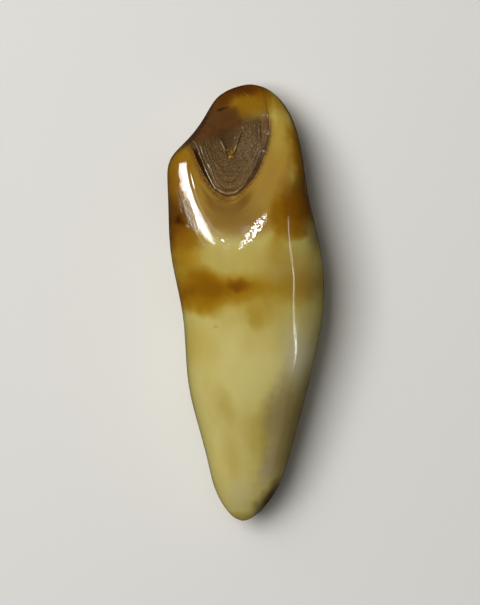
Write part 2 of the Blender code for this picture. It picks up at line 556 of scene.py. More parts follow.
@dataclass(frozen=True)
class RayFan:
    """How the mesh's rings find the surface, by their share of the way from face to root.

    Each ring starts as an oval inside the tooth, and from there its rays look for the surface.

    Attributes:
        share: Which rings the values are for, from the face's middle, 0, to the root's end, 1.
        along: How far along the tooth each oval is.
        up: How high it is.
        across: How far it is to the right.
        tilt: How far it is tilted from flat towards upright, in degrees.
        oval_across: Its half size across.
        oval_long: Its half size the other way.
        look_ahead: How much its rays look straight out of the oval's plane.
        look_across: How much they look across.
        look_long: How much they look the other way.
    """

    share: tuple[float, ...] = (0.00, 0.16, 0.49, 0.62, 0.68, 0.74, 0.95, 1.00)
    along: tuple[float, ...] = (0.0222, 0.0222, 0.0190, 0.0186, 0.0170, 0.0040, -0.0270, -0.0290)
    up: tuple[float, ...] = (0.0062, 0.0062, 0.0078, 0.0084, 0.0080, 0.0088, 0.0074, 0.0070)
    across: tuple[float, ...] = (-0.0022, -0.0022, -0.0018, -0.0010, -0.0004, 0.0008, 0.0, 0.0003)
    tilt: tuple[float, ...] = (26.6, 26.6, 26.6, 26.6, 28.0, 45.0, 90.0, 90.0)
    oval_across: tuple[float, ...] = (0.0, 0.0022, 0.0060, 0.0064, 0.0064, 0.0040, 0.0, 0.0)
    oval_long: tuple[float, ...] = (0.0, 0.0044, 0.0096, 0.0098, 0.0095, 0.0040, 0.0, 0.0)
    look_ahead: tuple[float, ...] = (1.0, 1.0, 1.0, 0.85, 0.15, 0.0, 0.0, -1.0)
    look_across: tuple[float, ...] = (0.0, 0.0, 0.08, 0.50, 1.0, 1.0, 1.0, 0.0)
    look_long: tuple[float, ...] = (0.0, 0.0, 0.06, 0.50, 1.0, 1.0, 1.0, 0.0)

    def rays(self, directions: Array) -> tuple[Array, Array]:
        """Where each ray that finds the surface starts, and its direction.

        Args:
            directions: Unit rows, one for each point of a round ball.

        Returns:
            The starts and the unit directions.
        """
        share = np.arccos(np.clip(directions[:, 2], -1, 1)) / math.pi
        around = np.arctan2(directions[:, 1], directions[:, 0])

        def keyed(values: tuple[float, ...]) -> Array:
            """The table's value for each ray's ring."""
            return np.interp(share, self.share, values)

        tilt = np.radians(keyed(self.tilt))

        def tilted(ahead: Array, across: Array, lengthwise: Array) -> Array:
            """Vectors of these sizes in each ring's own tilted directions.

            Args:
                ahead: How far each goes straight out of its ring's plane.
                across: How far it goes out from the ring's middle, at the sides.
                lengthwise: How far it does so at the ring's two ends.

            Returns:
                Rows of x, y, z.
            """
            across_part = across * np.cos(around)
            long_part = lengthwise * np.sin(around)
            along = ahead * np.sin(tilt) + long_part * np.cos(tilt)
            up = ahead * np.cos(tilt) - long_part * np.sin(tilt)
            return np.stack((across_part, along, up), axis=1)

        none = np.zeros_like(share)
        starts = np.stack((keyed(self.across), keyed(self.along), keyed(self.up)), axis=1)
        starts += tilted(none, keyed(self.oval_across), keyed(self.oval_long))
        looks = tilted(keyed(self.look_ahead), keyed(self.look_across), keyed(self.look_long))
        return starts, looks / np.linalg.norm(looks, axis=1)[:, None]


class Hue(Enum):
    """The tooth's colours, as linear red, green and blue."""

    @property
    def dye(self) -> Colour:
        """The colour's fourth root, in which two colours mix the way clear stains do."""
        return tuple(part ** (1 / DYE_POWER) for part in self.value)

    PALE_CREAM = display(210, 197, 128)
    CREAM = display(194, 180, 106)
    KHAKI = display(182, 165, 88)
    OLIVE = display(170, 150, 70)
    FACE_TAN = display(158, 124, 52)
    FACE_GOLD = display(168, 132, 44)
    CRESCENT = display(116, 80, 28)
    PALE_GOLD = display(178, 152, 66)
    GOLD = display(154, 112, 16)
    CAP_GOLD = display(146, 106, 14)
    HONEY = display(136, 92, 12)
    AMBER = display(122, 76, 6)
    BROWN = display(98, 60, 8)
    BAND_BROWN = display(110, 60, 6)
    RUSSET = display(88, 44, 6)
    DARK_SPOT = display(62, 26, 4)
    TIP_SHADE = display(66, 52, 24)
    UMBER = display(84, 54, 24)
    BAND_TAN = display(142, 108, 42)
    # A grey-brown, also painted as the shade of the lower right flank.
    GREY_BROWN = display(122, 104, 64)
    # Painted reflection: the violet-grey sheen on the root's lower right.
    VIOLET_GREY = display(150, 134, 104)
    # A pale grey, also painted as the sheen of light on the right flank.
    PALE_GREY = display(198, 189, 152)
    FACE_SHADE = display(136, 104, 46)
    DENTINE = display(102, 77, 44)
    DENTINE_DARK = display(58, 39, 18)
    DENTINE_LIGHT = display(130, 106, 68)
    DENTINE_GOLD = display(122, 94, 48)
    # Painted highlights: the pale lines where the edges of the growth steps and of the hollow's left
    # arm catch the light.
    HIGHLIGHT_LINE = display(176, 146, 104)
    CHALK = display(142, 128, 98)
    RED_BROWN = display(96, 62, 28)
    RED_BROWN_DARK = display(86, 54, 24)
    RED_STRIP = display(118, 80, 38)
    SEAM = display(48, 28, 12)
    # Painted highlights: the golden glints of the V-shaped hollow.
    GLINT = display(206, 176, 92)


class NodeBench:
    """Lays out the shader nodes of one material."""

    def __init__(self, name: str) -> None:
        """Starts an empty material with this name.

        Args:
            name: The material's name.
        """
        self.material = bpy.data.materials.new(name)
        self.material.use_nodes = True
        self.tree = self.material.node_tree
        self.tree.nodes.clear()

    def node(self, kind: str, **settings: object) -> bpy.types.Node:
        """A new node of this kind with these settings.

        Args:
            kind: Blender's name for the kind of node.
            settings: The node's properties.

        Returns:
            The node.
        """
        made = self.tree.nodes.new(kind)
        for name, value in settings.items():
            setattr(made, name, value)
        return made

    def feed(self, socket: Socket, value: object) -> None:
        """Links a socket to another, or sets it to a number, vector or colour.

        Args:
            socket: The input.
            value: What goes into it.
        """
        if isinstance(value, bpy.types.NodeSocket):
            self.tree.links.new(value, socket)
        elif isinstance(value, Hue):
            socket.default_value = (*value.dye, 1.0)
        elif isinstance(value, tuple) and socket.type == "RGBA":
            socket.default_value = (*value, 1.0)
        else:
            socket.default_value = value

    def math(self, operation: str, first: object, second: object = 0.0) -> Socket:
        """A sum, product or other operation on two numbers.

        Args:
            operation: Blender's name for the operation.
            first: The first number.
            second: The second one, where the operation has two.

        Returns:
            The result.
        """
        made = self.node("ShaderNodeMath", operation=operation)
        self.feed(made.inputs[0], first)
        self.feed(made.inputs[1], second)
        return made.outputs[0]

    def chained(self, operation: str, values: Sequence[object]) -> Socket:
        """One operation on two numbers, taken from the first of several to the last.

        Args:
            operation: Blender's name for the operation.
            values: The numbers.

        Returns:
            The last result.
        """
        result = values[0]
        for value in values[1:]:
            result = self.math(operation, result, value)
        return result

    def product(self, *factors: object) -> Socket:
        """The product of several numbers."""
        return self.chained("MULTIPLY", factors)

    def total(self, *terms: object) -> Socket:
        """The sum of several numbers."""
        return self.chained("ADD", terms)

    def rest(self, share: Socket) -> Socket:
        """What a share leaves of 1."""
        return self.math("SUBTRACT", 1.0, share)

    def vector(self, operation: str, first: object, second: object = (0.0, 0.0, 0.0)) -> Socket:
        """An operation on two vectors.

        Args:
            operation: Blender's name for the operation.
            first: The first vector.
            second: The second one, where the operation has two.

        Returns:
            The result, a number for a length or a dot product.
        """
        made = self.node("ShaderNodeVectorMath", operation=operation)
        self.feed(made.inputs[0], first)
        self.feed(made.inputs[1], second)
        numbers = ("LENGTH", "DOT_PRODUCT")
        return made.outputs["Value" if operation in numbers else "Vector"]

    def split(self, vector: Socket) -> tuple[Socket, Socket, Socket]:
        """The three parts of a vector.

        Args:
            vector: The vector.

        Returns:
            Its x, y and z.
        """
        made = self.node("ShaderNodeSeparateXYZ")
        self.feed(made.inputs[0], vector)
        return made.outputs[0], made.outputs[1], made.outputs[2]

    def join(self, x: object, y: object, z: object) -> Socket:
        """A vector of three parts.

        Args:
            x: Its x.
            y: Its y.
            z: Its z.

        Returns:
            The vector.
        """
        made = self.node("ShaderNodeCombineXYZ")
        for socket, value in zip(made.inputs, (x, y, z)):
            self.feed(socket, value)
        return made.outputs[0]

    def turned(self, vector: Socket, degrees: float) -> Socket:
        """A vector turned to the right round Z, so that what is drawn in it turns left.

        Args:
            vector: The vector.
            degrees: How far what is drawn turns to the left.

        Returns:
            The turned vector.
        """
        made = self.node("ShaderNodeVectorRotate", rotation_type="Z_AXIS")
        self.feed(made.inputs["Vector"], vector)
        made.inputs["Angle"].default_value = -math.radians(degrees)
        return made.outputs["Vector"]

    def rise(self, value: Socket, low: float, high: float, top: float = 1.0) -> Socket:
        """Rises smoothly from 0 at low to top at high; high may be the lower of the two.

        Args:
            value: The number that it follows.
            low: Where it is 0.
            high: Where it is `top`.
            top: What it rises to.

        Returns:
            The risen number.
        """
        made = self.node("ShaderNodeMapRange", interpolation_type="SMOOTHSTEP")
        self.feed(made.inputs["Value"], value)
        flipped = high < low
        made.inputs["From Min"].default_value = high if flipped else low
        made.inputs["From Max"].default_value = low if flipped else high
        made.inputs["To Min"].default_value = top if flipped else 0.0
        made.inputs["To Max"].default_value = 0.0 if flipped else top
        return made.outputs["Result"]

    def clouds(self, vector: Socket, scale: float, detail: float, rough: float) -> bpy.types.Node:
        """The node of a cloudy noise.

        Args:
            vector: Where it is read.
            scale: How many clouds there are in one unit.
            detail: How many finer noises are in it.
            rough: How strong the finer ones are.

        Returns:
            The noise node.
        """
        made = self.node("ShaderNodeTexNoise")
        self.feed(made.inputs["Vector"], vector)
        made.inputs["Scale"].default_value = scale
        made.inputs["Detail"].default_value = detail
        made.inputs["Roughness"].default_value = rough
        return made

    def noise(self, vector: Socket, scale: float, detail: float = 2.0, rough: float = 0.5) -> Socket:
        """A cloudy number of about 0.3 to 0.7."""
        return self.clouds(vector, scale, detail, rough).outputs["Fac"]

    def cloud(self, vector: Socket, scale: float, size: float) -> Socket:
        """A cloudy vector, of up to about half of size each way.

        Args:
            vector: Where it is read.
            scale: How many clouds there are in one unit.
            size: How long it can be, each way together.

        Returns:
            The cloudy vector.
        """
        noise = self.clouds(vector, scale, 2.0, 0.5)
        centred = self.vector("SUBTRACT", noise.outputs["Color"], (0.5, 0.5, 0.5))
        return self.vector("MULTIPLY", centred, (size, size, size))

    def oval(self, place: Socket, middle: Point, size: Point, turn: float = 0.0) -> Socket:
        """How far out points are in an oval ball: 0 in its middle and 1 at its edge.

        Args:
            place: The shaded point.
            middle: The ball's middle.
            size: Its half sizes.
            turn: How far it is turned to the left, seen from above, in degrees.

        Returns:
            The distance, as a share of the half sizes.
        """
        away = self.vector("SUBTRACT", place, middle)
        if turn:
            away = self.turned(away, turn)
        return self.vector("LENGTH", self.vector("DIVIDE", away, size))

    def over(self, under: object, above: object, share: object, label: str = "") -> Socket:
        """One colour over another.

        Args:
            under: The colour below.
            above: The colour above.
            share: How much of it shows, from 0 to 1.
            label: What the node is labelled with.

        Returns:
            The mixed colour.
        """
        made = self.node("ShaderNodeMix", data_type="RGBA", blend_type="MIX", label=label)
        self.feed(made.inputs["Factor"], share)
        self.feed(made.inputs["A"], under)
        self.feed(made.inputs["B"], above)
        return made.outputs["Result"]


@dataclass(frozen=True)
class StainOrPaintedLight:
    """A soft-edged oval ball of colour in the tooth, seen from above; most are stains, some are painted
    highlights, sheen or shade.

    Attributes:
        name: What it is, which labels its node.
        place: Its middle, in millimetres.
        size: Its half sizes, in millimetres.
        hue: Its colour.
        strength: How much it covers at its middle.
        turn: How far it is turned to the left, seen from above, in degrees.
        soft: How much of its size its edge takes.
    """

    name: str
    place: Point
    size: Point
    hue: Hue
    strength: float = 0.9
    turn: float = 0.0
    soft: float = 0.85

    def draw(self, bench: NodeBench, place: Socket, colour: Socket) -> Socket:
        """The colour with this oval over it.

        Args:
            bench: The material's nodes.
            place: The shaded point, in millimetres.
            colour: The colour below.

        Returns:
            The stained colour.
        """
        away = bench.oval(place, self.place, self.size, self.turn)
        cover = bench.rise(away, 1 + self.soft / 2, 1 - self.soft, self.strength)
        return bench.over(colour, self.hue, cover, self.name)


# The stains of the cement, with painted shade, sheen and a reflection on the right flank among them,
# the later ones over the earlier ones.
CEMENT_STAINS_AND_PAINTED_LIGHT: tuple[StainOrPaintedLight, ...] = (
    # The left flank of the crown.
    StainOrPaintedLight("gold left flank", (-12.2, 19.0, 10), (4.9, 9.4, 12), Hue.HONEY, 0.95, soft=0.5),
    StainOrPaintedLight("gold at the nick", (-10.2, 22.6, 12), (2.4, 2.6, 5), Hue.GOLD, 0.7),
    StainOrPaintedLight("nick flank", (-8.4, 27.6, 7), (3.4, 5.6, 9), Hue.RED_BROWN, 0.97, turn=40, soft=0.5),
    StainOrPaintedLight("brown left flank", (-11.2, 12.9, 12), (4.4, 4.3, 10), Hue.BROWN, 0.95, soft=0.5),
    StainOrPaintedLight("low brown left", (-10.2, 10.4, 15), (2.8, 2.0, 6), Hue.AMBER, 0.75),
    StainOrPaintedLight("dark spot", (-10.3, 12.7, 15), (0.8, 0.9, 4), Hue.DARK_SPOT, 0.95),
    # The right flank of the crown.
    StainOrPaintedLight("right edge strip", (9.2, 22.6, 9), (2.2, 10.0, 14), Hue.HONEY, 0.9, turn=8, soft=0.6),
    StainOrPaintedLight("dark top right", (8.2, 30.4, 7), (1.7, 4.4, 14), Hue.BROWN, 0.9, turn=28, soft=0.6),
    StainOrPaintedLight("gold top right", (4.9, 31.6, 8), (1.6, 2.0, 8), Hue.GOLD, 0.4),
    StainOrPaintedLight("pale streak", (5.15, 28.3, 12), (1.3, 5.3, 7), Hue.PALE_GOLD, 0.9),
    StainOrPaintedLight("pale heart of the streak", (4.65, 30.2, 11), (0.5, 2.4, 7), Hue.CREAM, 0.6),
    StainOrPaintedLight("brown right upper", (7.6, 16.8, 14), (2.6, 3.6, 8), Hue.BROWN, 0.78),
    StainOrPaintedLight("brown right", (7.8, 14.2, 14), (3.5, 3.8, 10), Hue.AMBER, 0.95, soft=0.5),
    StainOrPaintedLight("foot of the brown", (7.2, 11.4, 15), (2.8, 1.6, 8), Hue.HONEY, 0.8, soft=0.5),
    StainOrPaintedLight("orange of the brown right", (5.0, 13.4, 17), (1.2, 3.6, 6), Hue.HONEY, 0.9, turn=6),
    StainOrPaintedLight("gold below the brown", (5.2, 8.8, 17), (1.6, 3.0, 6), Hue.GOLD, 0.45),
    StainOrPaintedLight("olive far right", (11.0, 10.8, 10), (1.8, 3.2, 8), Hue.GREY_BROWN, 0.6),
    StainOrPaintedLight("shade above the lip", (-1.9, 13.0, 17), (5.6, 3.0, 6), Hue.FACE_SHADE, 0.8),
    # The amber band round the neck.
    StainOrPaintedLight("gold above the band", (-9.4, 6.9, 14), (3.6, 3.0, 8), Hue.GOLD, 0.85),
    StainOrPaintedLight("gold at the left neck", (-8.6, 9.5, 14), (2.8, 1.7, 7), Hue.HONEY, 0.8, soft=0.7),
    StainOrPaintedLight("band", (-6.4, 1.7, 13), (6.4, 3.9, 14), Hue.GOLD, 1.0, soft=0.4),
    StainOrPaintedLight("band middle", (-0.6, 2.1, 18), (3.9, 3.0, 6), Hue.GOLD, 1.0, soft=0.6),
    StainOrPaintedLight("band column", (-7.3, 3.8, 16), (2.3, 2.2, 7), Hue.HONEY, 0.75),
    StainOrPaintedLight("band dark left", (-5.2, 1.8, 17), (3.2, 2.0, 7), Hue.AMBER, 0.68),
    StainOrPaintedLight("band dark middle", (-0.9, 2.8, 18), (2.1, 1.2, 5), Hue.BAND_BROWN, 0.9, soft=0.7),
    StainOrPaintedLight("band dark edge", (-8.8, 1.4, 14), (1.7, 1.4, 8), Hue.AMBER, 0.7),
    StainOrPaintedLight("band low left", (-6.6, -0.1, 15), (4.0, 1.1, 7), Hue.GOLD, 0.35),
    StainOrPaintedLight("band right", (4.2, 2.2, 16), (5.8, 3.0, 6), Hue.GOLD, 0.85),
    StainOrPaintedLight("band far right", (9.8, 2.8, 12), (3.6, 2.9, 10), Hue.BAND_TAN, 0.65),
    # Faint marks on the body and the root, and painted shade and sheen on its right flank.
    StainOrPaintedLight("neck haze", (1.0, 6.4, 17), (6.0, 3.4, 8), Hue.PALE_GOLD, 0.45),
    StainOrPaintedLight("neck haze right", (6.6, 5.2, 16), (4.8, 3.6, 9), Hue.FACE_TAN, 0.5),
    StainOrPaintedLight("haze under the band", (1.6, -1.3, 17), (6.4, 2.8, 8), Hue.PALE_GOLD, 0.65),
    # Painted sheen: the right flank drawn pale grey-white, as the light's sheen on it.
    StainOrPaintedLight("pale right flank", (8.3, -8.4, 12), (3.7, 6.4, 10), Hue.PALE_GREY, 1.0),
    StainOrPaintedLight("pale root", (-2.4, -25.0, 13), (3.8, 8.6, 9), Hue.PALE_CREAM, 0.6),
    StainOrPaintedLight("cream heart", (-2.0, -10.6, 17), (6.0, 8.6, 9), Hue.PALE_CREAM, 0.65),
    # Painted sheen: paler cream right of the middle, where the light's sheen lies.
    StainOrPaintedLight("pale right of the heart", (3.6, -7.6, 17), (2.6, 5.6, 6), Hue.PALE_CREAM, 0.75, turn=5),
    # Painted reflection: a violet-grey sheen of light on the root's lower right.
    StainOrPaintedLight("violet sheen", (3.6, -26.0, 13), (1.6, 3.8, 6), Hue.VIOLET_GREY, 0.6, turn=-20),
    StainOrPaintedLight("amber run", (3.1, -0.6, 18), (1.2, 4.6, 5), Hue.GOLD, 0.22),
    StainOrPaintedLight("orange smudge", (1.5, -2.4, 18), (1.3, 2.2, 5), Hue.GOLD, 0.38, turn=10),
    StainOrPaintedLight("body haze right", (2.8, -6.0, 17), (3.4, 2.8, 6), Hue.PALE_GOLD, 0.3),
    StainOrPaintedLight("body haze left", (-7.4, -6.6, 14), (3.8, 4.0, 7), Hue.PALE_GOLD, 0.5),
    StainOrPaintedLight("dot", (-4.4, -3.8, 17), (0.5, 0.5, 3), Hue.OLIVE, 0.6),
    StainOrPaintedLight("root streak", (-2.9, -16.9, 15), (1.3, 3.9, 6), Hue.OLIVE, 0.5, turn=23),
    StainOrPaintedLight("root streak low", (-2.3, -24.7, 13), (1.6, 4.6, 6), Hue.OLIVE, 0.45, turn=8),
    StainOrPaintedLight("root gold", (1.2, -21.5, 14), (2.0, 4.6, 6), Hue.OLIVE, 0.45),
    StainOrPaintedLight("root edge", (2.8, -18.9, 14), (1.2, 4.6, 6), Hue.OLIVE, 0.35, turn=-6),
    # Painted shade: the lower right flank drawn darker grey-brown, where the light falls off.
    StainOrPaintedLight("grey right flank", (7.4, -19.4, 10), (3.2, 9.8, 9), Hue.GREY_BROWN, 0.64, turn=-15),
    StainOrPaintedLight("grey beside it", (5.0, -16.8, 13), (2.0, 7.6, 7), Hue.GREY_BROWN, 0.6, turn=-10),
    # Painted shade on the lower right edge of the root's tip.
    StainOrPaintedLight("dark tip edge", (3.95, -31.0, 7), (3.7, 1.5, 6), Hue.TIP_SHADE, 0.95, turn=52, soft=1.0),
    StainOrPaintedLight("pale tip", (-0.6, -30.4, 10), (3.0, 3.4, 8), Hue.PALE_GREY, 0.4),
    StainOrPaintedLight("golden tip", (-0.7, -34.4, 7), (3.0, 1.1, 5), Hue.OLIVE, 0.8),
    # The side that it lies on.
    StainOrPaintedLight("back amber", (3.5, 12.0, 1), (7.0, 6.0, 6), Hue.GOLD, 0.7),
    StainOrPaintedLight("back brown", (-4.5, 20.0, 1), (5.0, 7.0, 6), Hue.AMBER, 0.8),
    StainOrPaintedLight("back streak", (-2.0, -12.0, 1), (3.0, 10.0, 6), Hue.OLIVE, 0.6),
)

# What lies over cement and dentine alike, in the upper part of the crown.
CROWN_STAINS: tuple[StainOrPaintedLight, ...] = (
    StainOrPaintedLight("amber cap", (-1.5, 34.4, 9), (6.0, 4.9, 9), Hue.AMBER, 1.0, soft=0.2),
    StainOrPaintedLight("gold of the cap", (1.0, 31.6, 9), (4.6, 2.3, 6), Hue.CAP_GOLD, 0.95),
    StainOrPaintedLight("pale foot of the cap", (2.3, 30.0, 10), (2.6, 0.9, 5), Hue.PALE_GOLD, 0.3),
    StainOrPaintedLight("light gold", (-2.0, 32.0, 9), (1.3, 0.8, 5), Hue.PALE_GOLD, 0.45, turn=10),
    StainOrPaintedLight("russet of the cap", (-0.8, 34.0, 8), (3.0, 1.4, 5), Hue.RUSSET, 0.95),
    StainOrPaintedLight("russet low", (-3.6, 32.2, 8), (2.4, 1.6, 5), Hue.RUSSET, 0.65, turn=30),
    StainOrPaintedLight("dark by the nick", (-4.6, 31.2, 7), (1.6, 2.0, 6), Hue.UMBER, 0.5, turn=-30),
    StainOrPaintedLight("bulge", (-3.2, 29.3, 9), (2.7, 1.9, 6), Hue.RED_BROWN, 1.0, turn=14, soft=0.28),
    StainOrPaintedLight("dark arc", (-3.6, 30.9, 9), (1.1, 0.22, 5), Hue.SEAM, 0.9, turn=24),
    StainOrPaintedLight("shade in the bulge", (-2.6, 29.3, 9), (1.3, 0.8, 5), Hue.RED_BROWN_DARK, 0.5, turn=25),
    StainOrPaintedLight("crack", (0.2, 33.0, 9), (0.14, 0.9, 4), Hue.PALE_GOLD, 0.35, turn=42),
)

# The fine marks in and beside the V-shaped hollow of the pulp: painted glints and highlights on its
# walls, dark lines painted as the shade in its arms, and the marks beside it.
NOTCH_MARKS_AND_GLINTS: tuple[StainOrPaintedLight, ...] = (
    # Dark lines painted as the shade in the hollow's arms, and a painted highlight along the left arm's
    # edge.
    StainOrPaintedLight("dark left arm", (-3.15, 24.15, 13), (0.17, 1.95, 4), Hue.SEAM, 0.75, turn=26, soft=0.6),
    StainOrPaintedLight("pale left arm", (-3.52, 24.75, 13), (0.12, 1.15, 4), Hue.HIGHLIGHT_LINE, 0.95, turn=24, soft=0.6),
    StainOrPaintedLight("dark right arm", (-1.72, 23.5, 13), (0.17, 1.0, 4), Hue.SEAM, 0.7, turn=-27, soft=0.6),
    StainOrPaintedLight("dark line above", (-0.85, 25.8, 13), (0.14, 1.5, 4), Hue.SEAM, 0.7, turn=-19, soft=0.6),
    StainOrPaintedLight("glow inside", (-2.15, 23.5, 13), (0.55, 0.8, 3), Hue.HONEY, 0.5),
    # Painted highlights: golden glints at the hollow's tip and in it, and a pale fleck above it.
    StainOrPaintedLight("glint at the tip", (-2.42, 22.9, 13), (0.20, 0.24, 3), Hue.GLINT, 0.95),
    StainOrPaintedLight("glint beside the tip", (-2.05, 22.95, 13), (0.14, 0.12, 3), Hue.GLINT, 0.7),
    StainOrPaintedLight("glint left", (-2.78, 24.0, 13), (0.15, 0.17, 3), Hue.GLINT, 0.85),
    StainOrPaintedLight("glint low left", (-2.62, 23.4, 13), (0.13, 0.2, 3), Hue.GLINT, 0.6),
    StainOrPaintedLight("glint middle", (-2.1, 23.7, 13), (0.12, 0.14, 3), Hue.GLINT, 0.5),
    StainOrPaintedLight("glint right", (-1.58, 24.3, 13), (0.11, 0.8, 3), Hue.GLINT, 0.8, turn=-20),
    StainOrPaintedLight("glint above", (-0.4, 27.7, 12), (0.18, 0.16, 3), Hue.HIGHLIGHT_LINE, 0.8),
    StainOrPaintedLight("reddish strip", (3.15, 27.8, 12), (0.5, 2.7, 6), Hue.RED_STRIP, 0.75),
    StainOrPaintedLight("dark line at the strip", (2.45, 27.0, 12), (0.11, 1.9, 5), Hue.DENTINE_DARK, 0.8, turn=2),
    StainOrPaintedLight("dark line beside it", (1.75, 27.6, 12), (0.09, 1.5, 5), Hue.DENTINE_DARK, 0.6, turn=3),
)


@dataclass(frozen=True)
class GrowthLine:
    """One fine line along a growth layer of the dentine, or of the cement round it.

    Attributes:
        layer: The layer that it follows at the lip.
        spread: How much further in it lies at the sides.
        run: Half its width, as a share of a layer.
        sides: The ways round the core where it starts and ends, in radians.
        hue: Its colour.
        strength: How much it covers.
        waver: How much of a layer it wavers by.
        taper: How far it takes to start and to end, in radians.
        breaks: The rise of it in the speckle, which breaks it up.
    """

    layer: float
    spread: float
    run: float
    sides: Span
    hue: Hue
    strength: float
    waver: float = 0.035
    taper: float = 0.2
    breaks: Rise = (0.40, 0.52)

    def draw(self, bench: NodeBench, finish: "ToothFinish", colour: Socket) -> Socket:
        """The colour with the line over it.

        Args:
            bench: The material's nodes.
            finish: The tooth's finish, for its layers and its speckle.
            colour: The colour below.

        Returns:
            The lined colour.
        """
        shaken = bench.total(finish.skewed(self.spread), bench.product(finish.waver, self.waver))
        off = bench.math("ABSOLUTE", bench.math("SUBTRACT", shaken, self.layer - 1.0))
        across = bench.rise(off, self.run, 0.0, self.strength)
        start, end = self.sides
        starts = bench.rise(finish.side, start, start + self.taper)
        ends = bench.rise(finish.side, end, end - self.taper)
        broken = bench.rise(finish.crumbs, *self.breaks)
        cover = bench.product(across, starts, ends, broken, finish.crown)
        return bench.over(colour, self.hue, cover)


# The plainest growth lines of the dentine: at the left, across the lowest part, at the right.
# The pale lines among them are painted highlights, where the edges of the growth steps catch the light.
GROWTH_LINES: tuple[GrowthLine, ...] = (
    GrowthLine(0.942, 0.085, 0.013, (-1.7, 0.0), Hue.HIGHLIGHT_LINE, 1.0),
    GrowthLine(0.925, 0.10, 0.020, (-1.6, 0.3), Hue.DENTINE_DARK, 0.7),
    GrowthLine(0.890, 0.20, 0.013, (-1.2, -0.05), Hue.HIGHLIGHT_LINE, 0.9),
    GrowthLine(0.870, 0.21, 0.016, (-1.3, 0.3), Hue.DENTINE_DARK, 0.8),
    GrowthLine(0.830, 0.22, 0.012, (-0.9, 0.2), Hue.DENTINE_LIGHT, 0.8),
    GrowthLine(0.930, 0.02, 0.020, (-0.35, 0.45), Hue.HIGHLIGHT_LINE, 0.9),
    GrowthLine(0.895, 0.04, 0.016, (-0.3, 0.5), Hue.DENTINE_DARK, 0.8),
    GrowthLine(0.760, 0.20, 0.016, (-0.9, 0.6), Hue.DENTINE_DARK, 0.6),
    GrowthLine(0.690, 0.18, 0.014, (-0.9, 0.4), Hue.DENTINE_LIGHT, 0.7),
    GrowthLine(0.600, 0.10, 0.014, (-0.9, 0.3), Hue.DENTINE_DARK, 0.6),
    GrowthLine(0.90, 0.10, 0.014, (0.9, 2.7), Hue.DENTINE_DARK, 0.8),
    GrowthLine(0.85, 0.10, 0.012, (0.9, 2.4), Hue.DENTINE_LIGHT, 0.6),
    GrowthLine(0.74, 0.10, 0.014, (0.8, 2.7), Hue.DENTINE_DARK, 0.6),
    GrowthLine(0.60, 0.10, 0.012, (0.8, 2.7), Hue.DENTINE_DARK, 0.5),
)

# The dark margin of the cement round the dentine, and the lines of the crescent below it.
CRESCENT_LINES: tuple[GrowthLine, ...] = (
    GrowthLine(1.040, 0.0, 0.110, (-2.2, 0.15), Hue.RED_BROWN, 1.0),
    GrowthLine(1.020, 0.0, 0.065, (0.10, 1.9), Hue.RED_BROWN, 0.80),
    GrowthLine(1.070, 0.0, 0.026, (-0.5, 0.5), Hue.CRESCENT, 0.7),
    GrowthLine(1.165, 0.0, 0.013, (-0.5, 0.35), Hue.FACE_TAN, 0.6),
    GrowthLine(1.210, 0.0, 0.020, (-0.7, 0.5), Hue.CRESCENT, 0.6),
    GrowthLine(1.280, 0.0, 0.020, (-0.55, 0.5), Hue.CRESCENT, 0.45),
)


